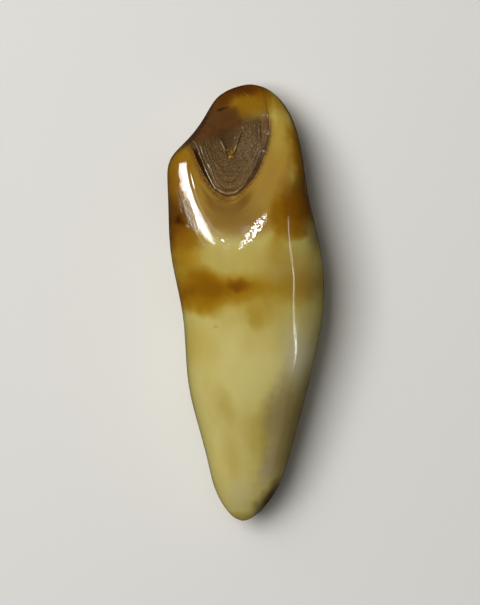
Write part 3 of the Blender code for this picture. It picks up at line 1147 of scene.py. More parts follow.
@dataclass(frozen=True)
class Tooth:
    """The whole tooth: one grown piece with its worn face.

    Attributes:
        name: The piece's name.
        grown: The tooth before wear.
        face: The slanted hollow that wear has cut into the crown.
        nick: The steep hollow at the crown's left.
        relief: The low relief of the bare dentine.
        fan: How the mesh's rings find the surface.
        face_rounding: How far the rim of the worn face is rounded.
        nick_rounding: How far the edge between the two hollows is rounded.
        rest_rounding: How far the edge of the resting patch is rounded.
        segments: How many points each ring of the mesh has.
        rings: How many rings it has.
        farthest: How far a ray looks for the surface.
        halvings: How often it halves that.
    """

    name: str = "tooth_polished"
    grown: GrownTooth = GrownTooth()
    face: Trough = Trough((-0.0009, 0.0089, 0.0197), heading=82.3, fall=23.6, lean=6.3, radius=0.0289)
    nick: Trough = Trough((-0.0075, 0.0286, 0.0057), heading=145.6, fall=78.8, lean=0, radius=0.0105)
    relief: FaceRelief = FaceRelief()
    fan: RayFan = RayFan()
    face_rounding: float = 0.0042
    nick_rounding: float = 0.0020
    rest_rounding: float = 0.0003
    segments: int = 300
    rings: int = 320
    farthest: float = 0.050
    halvings: int = 30

    def outside(self, points: Array) -> Array:
        """How far points lie outside the worn tooth.

        Args:
            points: Rows of x, y, z in metres.

        Returns:
            Distances in metres, less than 0 inside.
        """
        face = self.face.inside(points) + self.relief.depth(points)
        worn = rounded_cut(face, self.nick.inside(points), self.nick_rounding)
        whole = rounded_cut(self.grown.outside(points), worn, self.face_rounding)
        return rounded_cut(whole, -points[:, 2], self.rest_rounding)

    def on_surface(self, directions: Array) -> Array:
        """The points of the surface that the rays for these directions reach, by halving.

        Args:
            directions: Unit rows, one for each point of a round ball.

        Returns:
            Rows of x, y, z in metres.
        """
        starts, looks = self.fan.rays(directions)
        near, far = np.zeros(len(looks)), np.full(len(looks), self.farthest)
        for _ in range(self.halvings):
            middle = (near + far) / 2
            gone = self.outside(starts + looks * middle[:, None]) > 0
            far = np.where(gone, middle, far)
            near = np.where(gone, near, middle)
        return starts + looks * near[:, None]

    def sculpt(self) -> bpy.types.Mesh:
        """Draws the tooth's fine mesh out of a round ball.

        Returns:
            The mesh.
        """
        ball = bmesh.new()
        bmesh.ops.create_uvsphere(ball, u_segments=self.segments, v_segments=self.rings, radius=1.0)
        directions = np.array([vert.co.normalized() for vert in ball.verts])
        for vert, place in zip(ball.verts, self.on_surface(directions)):
            vert.co = place
        ball.normal_update()
        bmesh.ops.recalc_face_normals(ball, faces=ball.faces)
        mesh = bpy.data.meshes.new(self.name)
        ball.to_mesh(mesh)
        ball.free()
        mesh.shade_smooth()
        return mesh

    def build(self) -> bpy.types.Object:
        """Sculpts the tooth, dresses it and puts it in place of its solid.

        Returns:
            The finished piece.
        """
        mesh = self.sculpt()
        mesh.materials.append(ToothFinish(self).dress())
        tooth = bpy.data.objects.new(self.name, mesh)
        bpy.context.scene.collection.objects.link(tooth)
        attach(tooth, "root")
        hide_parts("tooth")
        return tooth


@dataclass(frozen=True)
class Grain:
    """A cloudy noise that is drawn out along one direction.

    Attributes:
        turn: How far that direction is turned to the left, seen from above, in degrees.
        stretch: How finely the noise changes across, along and up.
        scale: What these three are multiplied by, in clouds a millimetre.
        detail: How many finer noises are in it.
        rough: How strong the finer ones are.
    """

    turn: float
    stretch: Point
    scale: float = 1.0
    detail: float = 3.0
    rough: float = 0.6

    def draw(self, bench: NodeBench, place: Socket) -> Socket:
        """The noise at the shaded point, of about 0.3 to 0.7.

        Args:
            bench: The material's nodes.
            place: The shaded point, in millimetres.

        Returns:
            The noise.
        """
        turned = bench.turned(place, self.turn) if self.turn else place
        drawn_out = bench.vector("MULTIPLY", turned, self.stretch)
        return bench.noise(drawn_out, self.scale, self.detail, self.rough)


@dataclass(frozen=True)
class LayerGrain:
    """A cloudy noise that is drawn out along the core's growth layers.

    Attributes:
        inward: How many clouds it has from the core's outside to its middle.
        around: How many it has for each radian round the core.
        detail: How many finer noises are in it.
        rough: How strong the finer ones are.
    """

    inward: float
    around: float
    detail: float
    rough: float

    def draw(self, bench: NodeBench, layer: Socket, side: Socket) -> Socket:
        """The noise at this layer and way round the core, of about 0.3 to 0.7."""
        lines = bench.join(bench.product(layer, self.inward), bench.product(side, self.around), 0.0)
        return bench.noise(lines, 1.0, self.detail, self.rough)


@dataclass(frozen=True)
class SoftOval:
    """A region of the tooth with a soft edge, an oval ball seen from above.

    Attributes:
        middle: Its middle, in millimetres.
        size: Its half sizes, in millimetres.
        turn: How far it is turned to the left, in degrees.
        edge: How far out it sets in and is full, as shares of its size.
    """

    middle: Point
    size: Point
    turn: float
    edge: Span

    def share(self, bench: NodeBench, place: Socket) -> Socket:
        """How far the shaded point is inside the region, from 0 to 1."""
        return bench.rise(bench.oval(place, self.middle, self.size, self.turn), *self.edge)


@dataclass(frozen=True)
class CementLook:
    """The plain colours of the cement, under its stains.

    A rise holds where a share is 0, where it is full and, unless that is 1, how much it then is.
    Lengths are in millimetres, and layers and radians are the core's own.

    Attributes:
        crown_foot: The rise of the crown's colours along the tooth.
        raggedness: The scales and sizes of the clouds that make its stains ragged.
        clouds: The clouds of cream in its khaki.
        cream: The rise of the cream in them.
        face_edge: The rise of the worn face's tan, by how far off the face it is.
        face_along: The rise of the tan along the tooth, above the lip.
        face_cover: How much the tan covers.
        face_grain: The growth lines of the worn face.
        face_gold: The rise of gold in these lines.
        crescent_inside: The rise of the brown crescent below the core, by layer.
        crescent_outside: Its fall further out, by layer.
        crescent_left: The rise of it from its left end, in radians.
        crescent_right: The rise of it from its right end, in radians.
        crescent_bands: The rise of it in the growth lines.
    """

    crown_foot: Rise = (5.0, 8.0)
    raggedness: tuple[Pair, ...] = ((0.20, 2.8), (0.8, 0.7))
    clouds: Grain = Grain(0.0, (1.0, 0.45, 1.0), scale=0.20, detail=2.0, rough=0.5)
    cream: Rise = (0.34, 0.66)
    face_edge: Rise = (1.05, 0.45)
    face_along: Rise = (9.2, 12.4)
    face_cover: float = 0.95
    face_grain: LayerGrain = LayerGrain(7.0, 0.9, detail=3.0, rough=0.5)
    face_gold: Rise = (0.40, 0.62, 0.8)
    crescent_inside: Rise = (1.03, 1.12)
    crescent_outside: Rise = (1.48, 1.22)
    crescent_left: Rise = (-0.75, -0.25)
    crescent_right: Rise = (0.72, 0.30)
    crescent_bands: Rise = (0.38, 0.58, 0.85)


@dataclass(frozen=True)
class DentineLook:
    """The colours of the bare dentine, with rises as the cement's look has them.

    Attributes:
        wall: The rise of the dentine inwards from the cement's wall, by layer.
        shaking: The scales and sizes of the clouds that shake its edges and the crown's stains.
        waver: The scale and detail of the noise that its lines waver by.
        lines: The fine growth lines.
        line_waver: How much of a layer they waver by.
        brown: The rise of plain brown in the lines.
        bright: The rise of the bright lines.
        dark_left: The rise of the dark left, in radians.
        gold_outward: The rise of gold outwards, by layer.
        gold_sides: The rise of gold towards the core's lowest line, in radians.
        crumbs: The crumbled speckle.
        chalk: The rise of chalky flecks in the speckle.
        pits: The rise of dark pits in it.
        chalky_patch: Where the flecks lie closer.
        chalky: The rise of the flecks there.
        smooth_along: The rise of the smooth red-brown along the tooth.
        smooth_across: The rise of it to the left.
        mottle: The scale and detail of its mottling.
        mottled: The rise of its dark mottles.
        notch_inside: The rise of the V-shaped hollow's shade, by how far outside it is.
        notch_along: The rise of the shade from the hollow's top, along the tooth.
        notch_shade: How much the shade covers.
    """

    wall: Rise = (1.004, 0.990)
    shaking: tuple[Pair, ...] = ((0.50, 1.5), (1.9, 0.4))
    waver: Pair = (0.9, 3.0)
    lines: LayerGrain = LayerGrain(44.0, 5.0, detail=4.0, rough=0.7)
    line_waver: float = 0.08
    brown: Rise = (0.30, 0.50)
    bright: Rise = (0.54, 0.74, 0.7)
    dark_left: Rise = (-0.35, -1.2, 0.25)
    gold_outward: Rise = (0.55, 0.90, 0.6)
    gold_sides: Rise = (0.9, 0.3)
    crumbs: Grain = Grain(0.0, (1.9, 1.0, 1.3), scale=3.8, rough=0.7)
    chalk: Rise = (0.50, 0.66, 0.6)
    pits: Rise = (0.46, 0.34, 0.6)
    chalky_patch: SoftOval = SoftOval((1.0, 24.6, 13), (2.6, 3.6, 6), 0.0, (1.1, 0.3))
    chalky: Rise = (0.48, 0.62, 0.7)
    smooth_along: Rise = (26.6, 28.9)
    smooth_across: Rise = (0.8, -1.4)
    mottle: Pair = (0.9, 3.0)
    mottled: Rise = (0.35, 0.65)
    notch_inside: Rise = (0.15, -0.45)
    notch_along: Rise = (28.2, 25.6)
    notch_shade: float = 0.40


@dataclass(frozen=True)
class SeamLook:
    """The dark seam between dentine and cement, with rises as the cement's look has them.

    Attributes:
        waver: How much of a layer its inner edge wavers by.
        inner_edge: The rise of it outwards from where the gap starts, by layer.
        outer_edge: The rise of it inwards from the cement, by layer.
        cover: How much it covers.
        left: The rise of what it covers more at the left, in radians.
        right: The rise of what it covers less at the right, in radians.
        closed_sides: The rise of the seam's end at the upper left, in radians.
        closed_along: The rise of that end along the tooth.
        fine_along: The rise of its thinning along the tooth.
    """

    waver: float = 0.03
    inner_edge: Rise = (-0.002, 0.016)
    outer_edge: Rise = (1.008, 0.992)
    cover: float = 0.55
    left: Rise = (0.1, -0.5, 0.4)
    right: Rise = (0.9, 1.2, -0.22)
    closed_sides: Rise = (-0.3, -0.6)
    closed_along: Rise = (23.4, 24.6)
    fine_along: Rise = (27.5, 31.5, 0.7)


@dataclass(frozen=True)
class Polish:
    """The glassy polish, with the scratches and small steps that fray its two reflections.

    Heights are shares of the bump's own height, and rises are as the cement's look has them.

    Attributes:
        ior: How strongly it reflects, as the index of refraction.
        depth_share: How much of the light goes into the tooth.
        depth: How far it goes, in metres.
        depth_tint: How far red, green and blue go, as shares of that.
        haze: The scale and detail of the cement's haze.
        cement_haze: The rise of the cement's roughness in it.
        cement_roughness: The roughness of clear cement.
        dentine_haze: The rise of the dentine's roughness in its lines.
        dentine_roughness: The roughness of the dentine's smoothest lines.
        bump_share: How much of the bump shows.
        bump_height: The bump's height in metres.
        scratches: The hair scratches of the worn face.
        scratch_height: The rise of their height in that noise.
        left_rim: The region of the left reflection.
        hairs: The hair lines in it.
        hair_lines: The rise of the lines in that noise.
        hairy: The scale and detail of the noise that thins them out.
        hairy_places: The rise of the places that have them.
        hair_height: Their height.
        inner_line: The fine groove beside the reflection.
        inner_line_height: Its height.
        fray: The reflection's frayed edge.
        fray_grain: The strands of the fray.
        fray_height: Their height.
        fraying: The scale and size of the clouds that fray the right reflection's outline.
        right_rim: The region of the right reflection.
        right_roughness: How much rougher the polish is there.
        right_strands: Its strands.
        right_strand_height: Their height.
        steps_across: How many small steps it has in a millimetre across.
        step_middle: Where along the tooth the steps run straight.
        step_bend: How much they bend away from there.
        step_fray: How much the strands fray them.
        step_height: Their height.
        flecks: The noise that breaks the steps into flecks.
        close_flecks: The rise of the flecks in the right reflection.
        between: The region between the two reflections.
        loose_flecks: The rise of the few flecks there.
    """

    ior: float = 1.50
    depth_share: float = 0.16
    depth: float = 0.0011
    depth_tint: Point = (1.0, 0.7, 0.3)
    haze: Pair = (1.4, 4.0)
    cement_haze: Rise = (0.35, 0.75, 0.04)
    cement_roughness: float = 0.07
    dentine_haze: Rise = (0.3, 0.7, 0.06)
    dentine_roughness: float = 0.12
    bump_share: float = 0.7
    bump_height: float = 0.000014
    scratches: Grain = Grain(-32.0, (0.8, 6.5, 0.8), detail=4.0, rough=0.75)
    scratch_height: Rise = (0.45, 0.85, 0.12)
    left_rim: SoftOval = SoftOval((-8.8, 14.6, 17.0), (1.5, 7.4, 6.0), 23.0, (1.15, 0.75))
    hairs: Grain = Grain(25.0, (5.0, 0.75, 0.75), detail=2.0, rough=0.5)
    hair_lines: Rise = (0.50, 0.60)
    hairy: Pair = (0.45, 1.0)
    hairy_places: Rise = (0.38, 0.58)
    hair_height: float = 3.0
    inner_line: SoftOval = SoftOval((-8.12, 19.1, 17.0), (0.22, 2.6, 6.0), 14.3, (1.0, 0.0))
    inner_line_height: float = 3.0
    fray: SoftOval = SoftOval((-8.95, 14.5, 17.0), (0.7, 4.2, 6.0), 20.0, (1.2, 0.5))
    fray_grain: Grain = Grain(38.0, (5.5, 1.3, 1.3))
    fray_height: float = 24.0
    fraying: Pair = (2.4, 1.3)
    right_rim: SoftOval = SoftOval((1.3, 11.0, 18.0), (0.72, 3.3, 6.0), -38.0, (1.15, 0.80))
    right_roughness: float = 0.03
    right_strands: Grain = Grain(-24.0, (3.4, 1.1, 1.1))
    right_strand_height: float = 0.6
    steps_across: float = 1.8
    step_middle: float = 10.9
    step_bend: float = 0.182
    step_fray: float = 0.5
    step_height: float = 9.8
    flecks: Grain = Grain(-38.0, (3.2, 1.8, 2.0))
    close_flecks: Rise = (0.42, 0.50)
    between: SoftOval = SoftOval((-3.2, 9.2, 18.0), (2.2, 0.9, 5.0), -8.0, (1.1, 0.5))
    loose_flecks: Rise = (0.57, 0.63)


class ToothFinish:
    """The tooth's one material: polished cement with its stains, and the bare dentine, with some
    highlights, sheen and shade painted into the colour.
    """

    CEMENT = CementLook()
    DENTINE = DentineLook()
    SEAM = SeamLook()
    POLISH = Polish()

    def __init__(self, tooth: Tooth) -> None:
        """Starts the material and measures where each of its points is in the tooth.

        Args:
            tooth: The tooth, for the forms that the colours follow.
        """
        self.bench = bench = NodeBench("polished_tooth")
        self.relief = tooth.relief
        coordinates = bench.node("ShaderNodeTexCoord")
        self.place = bench.vector("MULTIPLY", coordinates.outputs["Object"], (1 / MM,) * 3)
        self.ragged = self.clouded(*self.CEMENT.raggedness)
        self.shaken = self.clouded(*self.DENTINE.shaking)
        self.along = bench.split(self.place)[1]
        self.crown = bench.rise(self.along, *self.CEMENT.crown_foot)
        self.layer, self.side = self.layers(tooth.relief.core)
        self.face = self.worn(tooth.face)
        self.bare = bench.product(bench.rise(self.layer, *self.DENTINE.wall), self.crown)
        self.waver = bench.math("SUBTRACT", bench.noise(self.place, *self.DENTINE.waver), 0.5)
        self.crumbs = self.DENTINE.crumbs.draw(bench, self.place)
        wavering = bench.total(self.layer, bench.product(self.waver, self.DENTINE.line_waver))
        self.streaks = self.DENTINE.lines.draw(bench, wavering, self.side)
        self.right_rim = self.POLISH.right_rim.share(bench, self.clouded(self.POLISH.fraying))

    def clouded(self, *clouds: Pair) -> Socket:
        """The shaded point, moved about by clouds of these scales and sizes.

        Args:
            clouds: The scale and the size of each cloud.

        Returns:
            The moved point, in millimetres.
        """
        moved = self.place
        for scale, size in clouds:
            moved = self.bench.vector("ADD", moved, self.bench.cloud(self.place, scale, size))
        return moved

    def layers(self, core: DentineCore) -> tuple[Socket, Socket]:
        """The growth layer and the way round the core, as nodes.

        Args:
            core: The dentine core.

        Returns:
            The layer, 1 at the core's outside, and the angle round it.
        """
        bench = self.bench
        x, _, z = bench.split(self.place)
        off_middle = bench.math("SUBTRACT", x, core.across / MM)
        across = bench.math("DIVIDE", off_middle, core.half_width / MM)
        above = bench.math("SUBTRACT", z, core.up / MM)
        top = bench.math("DIVIDE", above, core.top / MM)
        bottom = bench.math("DIVIDE", above, -core.bottom / MM)
        up = bench.math("POWER", bench.math("MAXIMUM", top, bottom), core.power)
        out = bench.math("POWER", bench.math("ABSOLUTE", across), core.power)
        layer = bench.math("POWER", bench.total(up, out), 1 / core.power)
        side = bench.math("ARCTAN2", across, top)
        for count, height, start in core.waves:
            angle = bench.total(bench.product(side, count), start)
            layer = bench.total(layer, bench.product(bench.math("SINE", angle), height))
        return layer, side

    def worn(self, face: Trough) -> Socket:
        """1 on the worn face, and 0 away from it.

        Args:
            face: The worn face.

        Returns:
            The share.
        """
        bench = self.bench
        centre, downhill = face.axis()
        away = bench.vector("SUBTRACT", self.place, tuple(centre / MM))
        along = bench.vector("DOT_PRODUCT", away, tuple(downhill))
        scaled = bench.node("ShaderNodeVectorMath", operation="SCALE")
        bench.feed(scaled.inputs[0], tuple(downhill))
        bench.feed(scaled.inputs["Scale"], along)
        out = bench.vector("LENGTH", bench.vector("SUBTRACT", away, scaled.outputs[0]))
        off = bench.math("SUBTRACT", out, face.radius / MM)
        return bench.product(bench.rise(off, *self.CEMENT.face_edge), self.crown)

    def skewed(self, spread: float) -> Socket:
        """How far outside the core points are in layers that lie further in at the sides.

        Args:
            spread: How much further in they lie, as a share of a layer.

        Returns:
            The distance past the core's outside, in layers.
        """
        bench, relief = self.bench, self.relief
        inward = bench.rise(bench.math("ABSOLUTE", self.side), *relief.gap_sides, spread)
        start, end = relief.closed_along
        closed_along = bench.rise(self.along, start / MM, end / MM, relief.closed_share)
        closed = bench.product(bench.rise(self.side, *relief.closed_sides), closed_along)
        inward = bench.product(inward, bench.rest(closed))
        return bench.total(self.layer, bench.math("SUBTRACT", inward, 1.0))

    def dress(self) -> bpy.types.Material:
        """Mixes the colours, the polish and the finest relief into the finished material.

        Returns:
            The material.
        """
        bench, polish = self.bench, self.POLISH
        shader = bench.node("ShaderNodeBsdfPrincipled")
        bench.feed(shader.inputs["Base Color"], self.colour())
        bench.feed(shader.inputs["Roughness"], self.roughness())
        bench.feed(shader.inputs["Normal"], self.finest_relief())
        shader.inputs["IOR"].default_value = polish.ior
        shader.inputs["Subsurface Weight"].default_value = polish.depth_share
        shader.inputs["Subsurface Scale"].default_value = polish.depth
        shader.inputs["Subsurface Radius"].default_value = polish.depth_tint
        output = bench.node("ShaderNodeOutputMaterial")
        bench.feed(output.inputs["Surface"], shader.outputs["BSDF"])
        return bench.material

    def colour(self) -> Socket:
        """The colour of the whole tooth, mixed from its clear stains and from painted highlights and
        shade.

        Returns:
            The linear colour.
        """
        bench = self.bench
        colour = bench.over(self.cement(), self.dentine(), self.bare)
        for stain_or_light in CROWN_STAINS:
            colour = stain_or_light.draw(bench, self.shaken, colour)
        colour = bench.over(colour, Hue.SEAM, self.seam_share())
        mixed = bench.node("ShaderNodeGamma")
        bench.feed(mixed.inputs["Color"], colour)
        mixed.inputs["Gamma"].default_value = DYE_POWER
        return mixed.outputs["Color"]

    def cement(self) -> Socket:
        """The cement's colour: cream, the tan of the worn face, the stains, and painted shade and sheen
        on the right flank.

        Returns:
            The colour, as a dye.
        """
        bench, look = self.bench, self.CEMENT
        clouds = look.clouds.draw(bench, self.place)
        grain = look.face_grain.draw(bench, self.layer, self.side)
        tan = bench.over(Hue.FACE_TAN, Hue.FACE_GOLD, bench.rise(grain, *look.face_gold))
        above_lip = bench.rise(self.along, *look.face_along)
        crescent = bench.product(
            bench.rise(self.layer, *look.crescent_inside),
            bench.rise(self.layer, *look.crescent_outside),
            bench.rise(self.side, *look.crescent_left),
            bench.rise(self.side, *look.crescent_right),
            bench.rise(grain, *look.crescent_bands),
            self.face,
        )
        colour = bench.over(Hue.KHAKI, Hue.CREAM, bench.rise(clouds, *look.cream))
        colour = bench.over(colour, tan, bench.product(self.face, above_lip, look.face_cover))
        colour = bench.over(colour, Hue.CRESCENT, crescent)
        for line in CRESCENT_LINES:
            colour = line.draw(bench, self, colour)
        for stain_or_light in CEMENT_STAINS_AND_PAINTED_LIGHT:
            colour = stain_or_light.draw(bench, self.ragged, colour)
        return colour

    def dentine(self) -> Socket:
        """The bare dentine's colour: grey-brown growth lines under a smooth red-brown part, with
        painted highlights on its growth steps and painted glints and shade in its V-shaped hollow.

        Returns:
            The colour, as a dye.
        """
        bench, look = self.bench, self.DENTINE
        outward = bench.rise(self.layer, *look.gold_outward)
        lowest = bench.rise(bench.math("ABSOLUTE", self.side), *look.gold_sides)
        chalky_patch = look.chalky_patch.share(bench, self.shaken)
        x, y, _ = bench.split(self.shaken)
        slanted = bench.math("SUBTRACT", y, bench.product(x, self.relief.smooth_slant))
        upward, leftward = bench.rise(slanted, *look.smooth_along), bench.rise(x, *look.smooth_across)
        mottled = bench.rise(bench.noise(self.shaken, *look.mottle), *look.mottled)
        smooth = bench.over(Hue.RED_BROWN, Hue.RED_BROWN_DARK, mottled)
        coats = (
            (Hue.DENTINE, bench.rise(self.streaks, *look.brown)),
            (Hue.DENTINE_LIGHT, bench.rise(self.streaks, *look.bright)),
            (Hue.DENTINE_DARK, bench.rise(self.side, *look.dark_left)),
            (Hue.DENTINE_GOLD, bench.product(outward, lowest)),
            (Hue.CHALK, bench.rise(self.crumbs, *look.chalk)),
            (Hue.DENTINE_DARK, bench.rise(self.crumbs, *look.pits)),
            (Hue.CHALK, bench.product(bench.rise(self.crumbs, *look.chalky), chalky_patch)),
            (smooth, bench.product(upward, leftward)),
            (Hue.DENTINE_DARK, bench.product(self.notch_share(), look.notch_shade)),
        )
        colour = Hue.DENTINE_DARK
        for coat, cover in coats:
            colour = bench.over(colour, coat, cover)
        for line in GROWTH_LINES:
            colour = line.draw(bench, self, colour)
        for stain_or_light in NOTCH_MARKS_AND_GLINTS:
            colour = stain_or_light.draw(bench, self.place, colour)
        return colour

    def notch_share(self) -> Socket:
        """How far inside the V-shaped hollow of the pulp points are, up to its soft top.

        Returns:
            The share.
        """
        bench, relief, look = self.bench, self.relief, self.DENTINE
        tip = (relief.notch_tip[0] / MM, relief.notch_tip[1] / MM, 0.0)
        away = bench.vector("SUBTRACT", self.place, tip)
        past_left = (-relief.notch_left[1], relief.notch_left[0], 0.0)
        past_right = (relief.notch_right[1], -relief.notch_right[0], 0.0)
        left = bench.vector("DOT_PRODUCT", away, past_left)
        right = bench.vector("DOT_PRODUCT", away, past_right)
        inside = bench.rise(bench.math("MAXIMUM", left, right), *look.notch_inside)
        return bench.product(inside, bench.rise(self.along, *look.notch_along))

    def seam_share(self) -> Socket:
        """How much the dark seam round the dentine covers: most where it gapes, at the left.

        Returns:
            The share.
        """
        bench, look = self.bench, self.SEAM
        start, full = (self.relief.gap_inner - 1 + past for past in look.inner_edge)
        reach = bench.total(
            self.skewed(self.relief.gap_spread), bench.product(self.waver, look.waver)
        )
        closed_sides = bench.rise(self.side, *look.closed_sides)
        closed = bench.product(closed_sides, bench.rise(self.along, *look.closed_along))
        fine = bench.rise(self.along, *look.fine_along)
        return bench.product(
            bench.rise(reach, start, full),
            bench.rise(self.layer, *look.outer_edge),
            bench.total(
                bench.rise(self.side, *look.left), bench.rise(self.side, *look.right), look.cover
            ),
            self.crown,
            bench.rest(bench.math("MAXIMUM", closed, fine)),
        )

    def roughness(self) -> Socket:
        """How rough the polish is: glassy cement, duller dentine and a duller right rim.

        Returns:
            The roughness.
        """
        bench, polish = self.bench, self.POLISH
        haze = bench.noise(self.place, *polish.haze)
        cement = bench.total(bench.rise(haze, *polish.cement_haze), polish.cement_roughness)
        lines = bench.rise(self.streaks, *polish.dentine_haze)
        mix = bench.node("ShaderNodeMix", data_type="FLOAT")
        bench.feed(mix.inputs["Factor"], self.bare)
        bench.feed(mix.inputs["A"], cement)
        bench.feed(mix.inputs["B"], bench.total(lines, polish.dentine_roughness))
        duller = bench.product(self.right_rim, polish.right_roughness)
        return bench.total(mix.outputs["Result"], duller)

    def finest_relief(self) -> Socket:
        """The finest relief: growth lines on the dentine, scratches and marks on the polish.

        Returns:
            The surface's direction with the relief in it.
        """
        bench, polish = self.bench, self.POLISH
        scratches = bench.rise(polish.scratches.draw(bench, self.place), *polish.scratch_height)
        bump = bench.node("ShaderNodeBump")
        heights = (
            bench.product(scratches, self.face),
            bench.product(self.streaks, self.bare),
            self.left_marks(),
            self.right_marks(),
        )
        bench.feed(bump.inputs["Height"], bench.total(*heights))
        bump.inputs["Strength"].default_value = polish.bump_share
        bump.inputs["Distance"].default_value = polish.bump_height
        return bump.outputs["Normal"]

    def left_marks(self) -> Socket:
        """The marks that the left reflection shows: hair lines, a fine groove and a frayed edge.

        Returns:
            The marks' height.
        """
        bench, polish = self.bench, self.POLISH
        hairs = bench.rise(polish.hairs.draw(bench, self.place), *polish.hair_lines)
        hairy = bench.rise(bench.noise(self.place, *polish.hairy), *polish.hairy_places)
        left_rim = polish.left_rim.share(bench, self.place)
        groove = polish.inner_line.share(bench, self.place)
        fray = polish.fray.share(bench, self.place)
        strands = polish.fray_grain.draw(bench, self.place)
        return bench.total(
            bench.product(hairs, left_rim, hairy, polish.hair_height),
            bench.product(groove, polish.inner_line_height),
            bench.product(fray, strands, polish.fray_height),
        )

    def right_marks(self) -> Socket:
        """The marks that the right reflection shows: strands, and small steps in flecks.

        Returns:
            The marks' height.
        """
        bench, polish = self.bench, self.POLISH
        strands = polish.right_strands.draw(bench, self.place)
        across, along, _ = bench.split(self.place)
        past = bench.math("SUBTRACT", along, polish.step_middle)
        steps = bench.total(
            bench.product(across, polish.steps_across),
            bench.product(past, past, polish.step_bend),
            bench.product(strands, polish.step_fray),
        )
        flecks = polish.flecks.draw(bench, self.place)
        close = bench.product(self.right_rim, bench.rise(flecks, *polish.close_flecks))
        between = polish.between.share(bench, self.place)
        loose = bench.product(between, bench.rise(flecks, *polish.loose_flecks))
        return bench.total(
            bench.product(strands, self.right_rim, polish.right_strand_height),
            bench.product(bench.math("FRACT", steps), bench.total(close, loose), polish.step_height),
        )


class Reach(Enum):
    """What a light of the studio does to the tooth: whether it lights it, and shows in it."""

    BODY = (True, False)
    POLISH = (False, True)


@dataclass(frozen=True)
class StudioLight:
    """One soft light of the studio.

    Attributes:
        name: What it is.
        towards: The direction from the tooth to the light.
        size: Its width and height in metres.
        glow: How bright it looks, in watts a square metre and steradian.
        reach: Whether it lights the tooth's body or shows in its polish.
        away: How far it is from the tooth.
        turn: How far it is turned to the left about the line to the tooth, in degrees.
    """

    name: str
    towards: Point
    size: Pair
    glow: float
    reach: Reach = Reach.POLISH
    away: float = 0.5
    turn: float = 0.0

    def put_up(self, aim: Vector) -> None:
        """Puts the light up, turned to the point `aim`.

        Args:
            aim: The point, in metres.
        """
        data = bpy.data.lights.new(self.name, "AREA")
        data.shape = "RECTANGLE"
        data.size, data.size_y = self.size
        data.energy = self.glow * self.size[0] * self.size[1] * math.pi
        light = bpy.data.objects.new(self.name, data)
        back = Vector(self.towards).normalized()
        lengthwise = Vector((0, 1, 0))
        across = lengthwise.cross(back).normalized()
        upright = Matrix((across, back.cross(across), back)).transposed()
        light.location = aim + back * self.away
        turned = upright @ Matrix.Rotation(math.radians(self.turn), 3, "Z")
        light.rotation_euler = turned.to_euler()
        light.visible_diffuse, light.visible_glossy = self.reach.value
        bpy.context.scene.collection.objects.link(light)


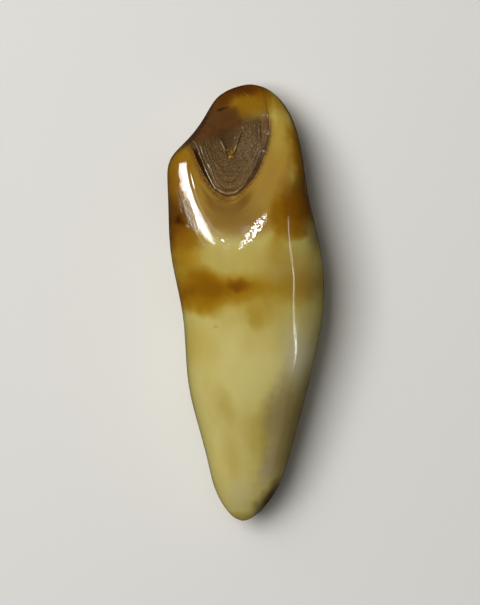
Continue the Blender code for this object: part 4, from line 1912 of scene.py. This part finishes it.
@dataclass(frozen=True)
class Studio:
    """The pale floor, soft lights and camera.

    Attributes:
        aim: The point that the lights are turned to.
        floor_colour: The floor's colour.
        floor_roughness: How dull the floor is.
        floor_radius: Its radius.
        floor_sides: How many sides its outline has.
        room_colour: The colour of the faint light from all round.
        room_glow: How bright that light is.
        camera_place: Where the camera is; it looks straight down.
        camera_range: The nearest and the farthest that it shows.
        lens: Its focal length in millimetres.
        lights: The soft lights.
    """

    aim: Point = (0.0, 0.010, 0.012)
    floor_colour: Colour = display(222, 220, 214)
    floor_roughness: float = 0.8
    floor_radius: float = 3.0
    floor_sides: int = 96
    room_colour: Colour = (1.0, 0.98, 0.94)
    room_glow: float = 0.015
    camera_place: Point = (-0.0008, 0.0, 0.410)
    camera_range: Span = (0.01, 20.0)
    lens: float = 150.0
    lights: tuple[StudioLight, ...] = (
        StudioLight("key", (-0.38, 0.13, 0.916), (0.44, 0.44), 8.7, Reach.BODY, 0.75),
        StudioLight("fill", (0.0, 0.0, 1.0), (0.9, 0.9), 0.42, Reach.BODY, 0.9),
        StudioLight("window", (-0.427, 0.532, 0.731), (0.203, 0.207), 23, turn=9.3),
        StudioLight("window side", (-0.584, 0.497, 0.642), (0.500, 0.164), 19, turn=-5),
        StudioLight("window edge", (-0.098, 0.565, 0.819), (0.015, 0.085), 4),
        StudioLight("strip top", (0.660, 0.315, 0.682), (0.008, 0.19), 15, turn=23),
        StudioLight("strip upper", (0.780, 0.056, 0.623), (0.008, 0.09), 17, turn=22.7),
        StudioLight("strip middle", (0.787, -0.112, 0.607), (0.008, 0.09), 17, turn=-10),
        StudioLight("strip lower", (0.781, -0.252, 0.571), (0.008, 0.07), 17, turn=36),
        StudioLight("strip foot", (0.852, -0.369, 0.370), (0.010, 0.17), 20, turn=70.5),
        StudioLight("dim panel", (0.68, -0.58, 0.45), (0.26, 0.34), 0.35),
    )

    def build(self) -> None:
        """Sets up the floor, the light and the camera."""
        self.lay_floor()
        for light in self.lights:
            light.put_up(Vector(self.aim))
        self.fill_room()
        self.stand_camera()

    def lay_floor(self) -> None:
        """Lays the plain pale floor."""
        disc = bmesh.new()
        bmesh.ops.create_circle(
            disc, cap_ends=True, segments=self.floor_sides, radius=self.floor_radius
        )
        mesh = bpy.data.meshes.new("floor")
        disc.to_mesh(mesh)
        disc.free()
        bench = NodeBench("plain_floor")
        shader = bench.node("ShaderNodeBsdfPrincipled")
        bench.feed(shader.inputs["Base Color"], self.floor_colour)
        shader.inputs["Roughness"].default_value = self.floor_roughness
        output = bench.node("ShaderNodeOutputMaterial")
        bench.feed(output.inputs["Surface"], shader.outputs["BSDF"])
        mesh.materials.append(bench.material)
        floor = bpy.data.objects.new("floor", mesh)
        floor.visible_glossy = False
        bpy.context.scene.collection.objects.link(floor)

    def fill_room(self) -> None:
        """Fills the room with faint, even light, and has colours shown plainly."""
        scene = bpy.context.scene
        world = bpy.data.worlds.new("room")
        world.use_nodes = True
        ground = world.node_tree.nodes["Background"]
        ground.inputs["Color"].default_value = (*self.room_colour, 1.0)
        ground.inputs["Strength"].default_value = self.room_glow
        scene.world = world
        scene.view_settings.view_transform = "Standard"

    def stand_camera(self) -> None:
        """Stands the camera straight above, at the photograph's angle."""
        data = bpy.data.cameras.new("camera")
        data.lens = self.lens
        data.clip_start, data.clip_end = self.camera_range
        camera = bpy.data.objects.new("camera", data)
        camera.location = self.camera_place
        bpy.context.scene.collection.objects.link(camera)
        bpy.context.scene.camera = camera


def main() -> None:
    logging.basicConfig(level=logging.INFO, format="%(message)s")
    tooth = Tooth().build()
    log.info("%s: %d faces", tooth.name, len(tooth.data.polygons))
    Studio().build()
    log.info("studio: floor, lights and camera")


if __name__ == "__main__":
    main()
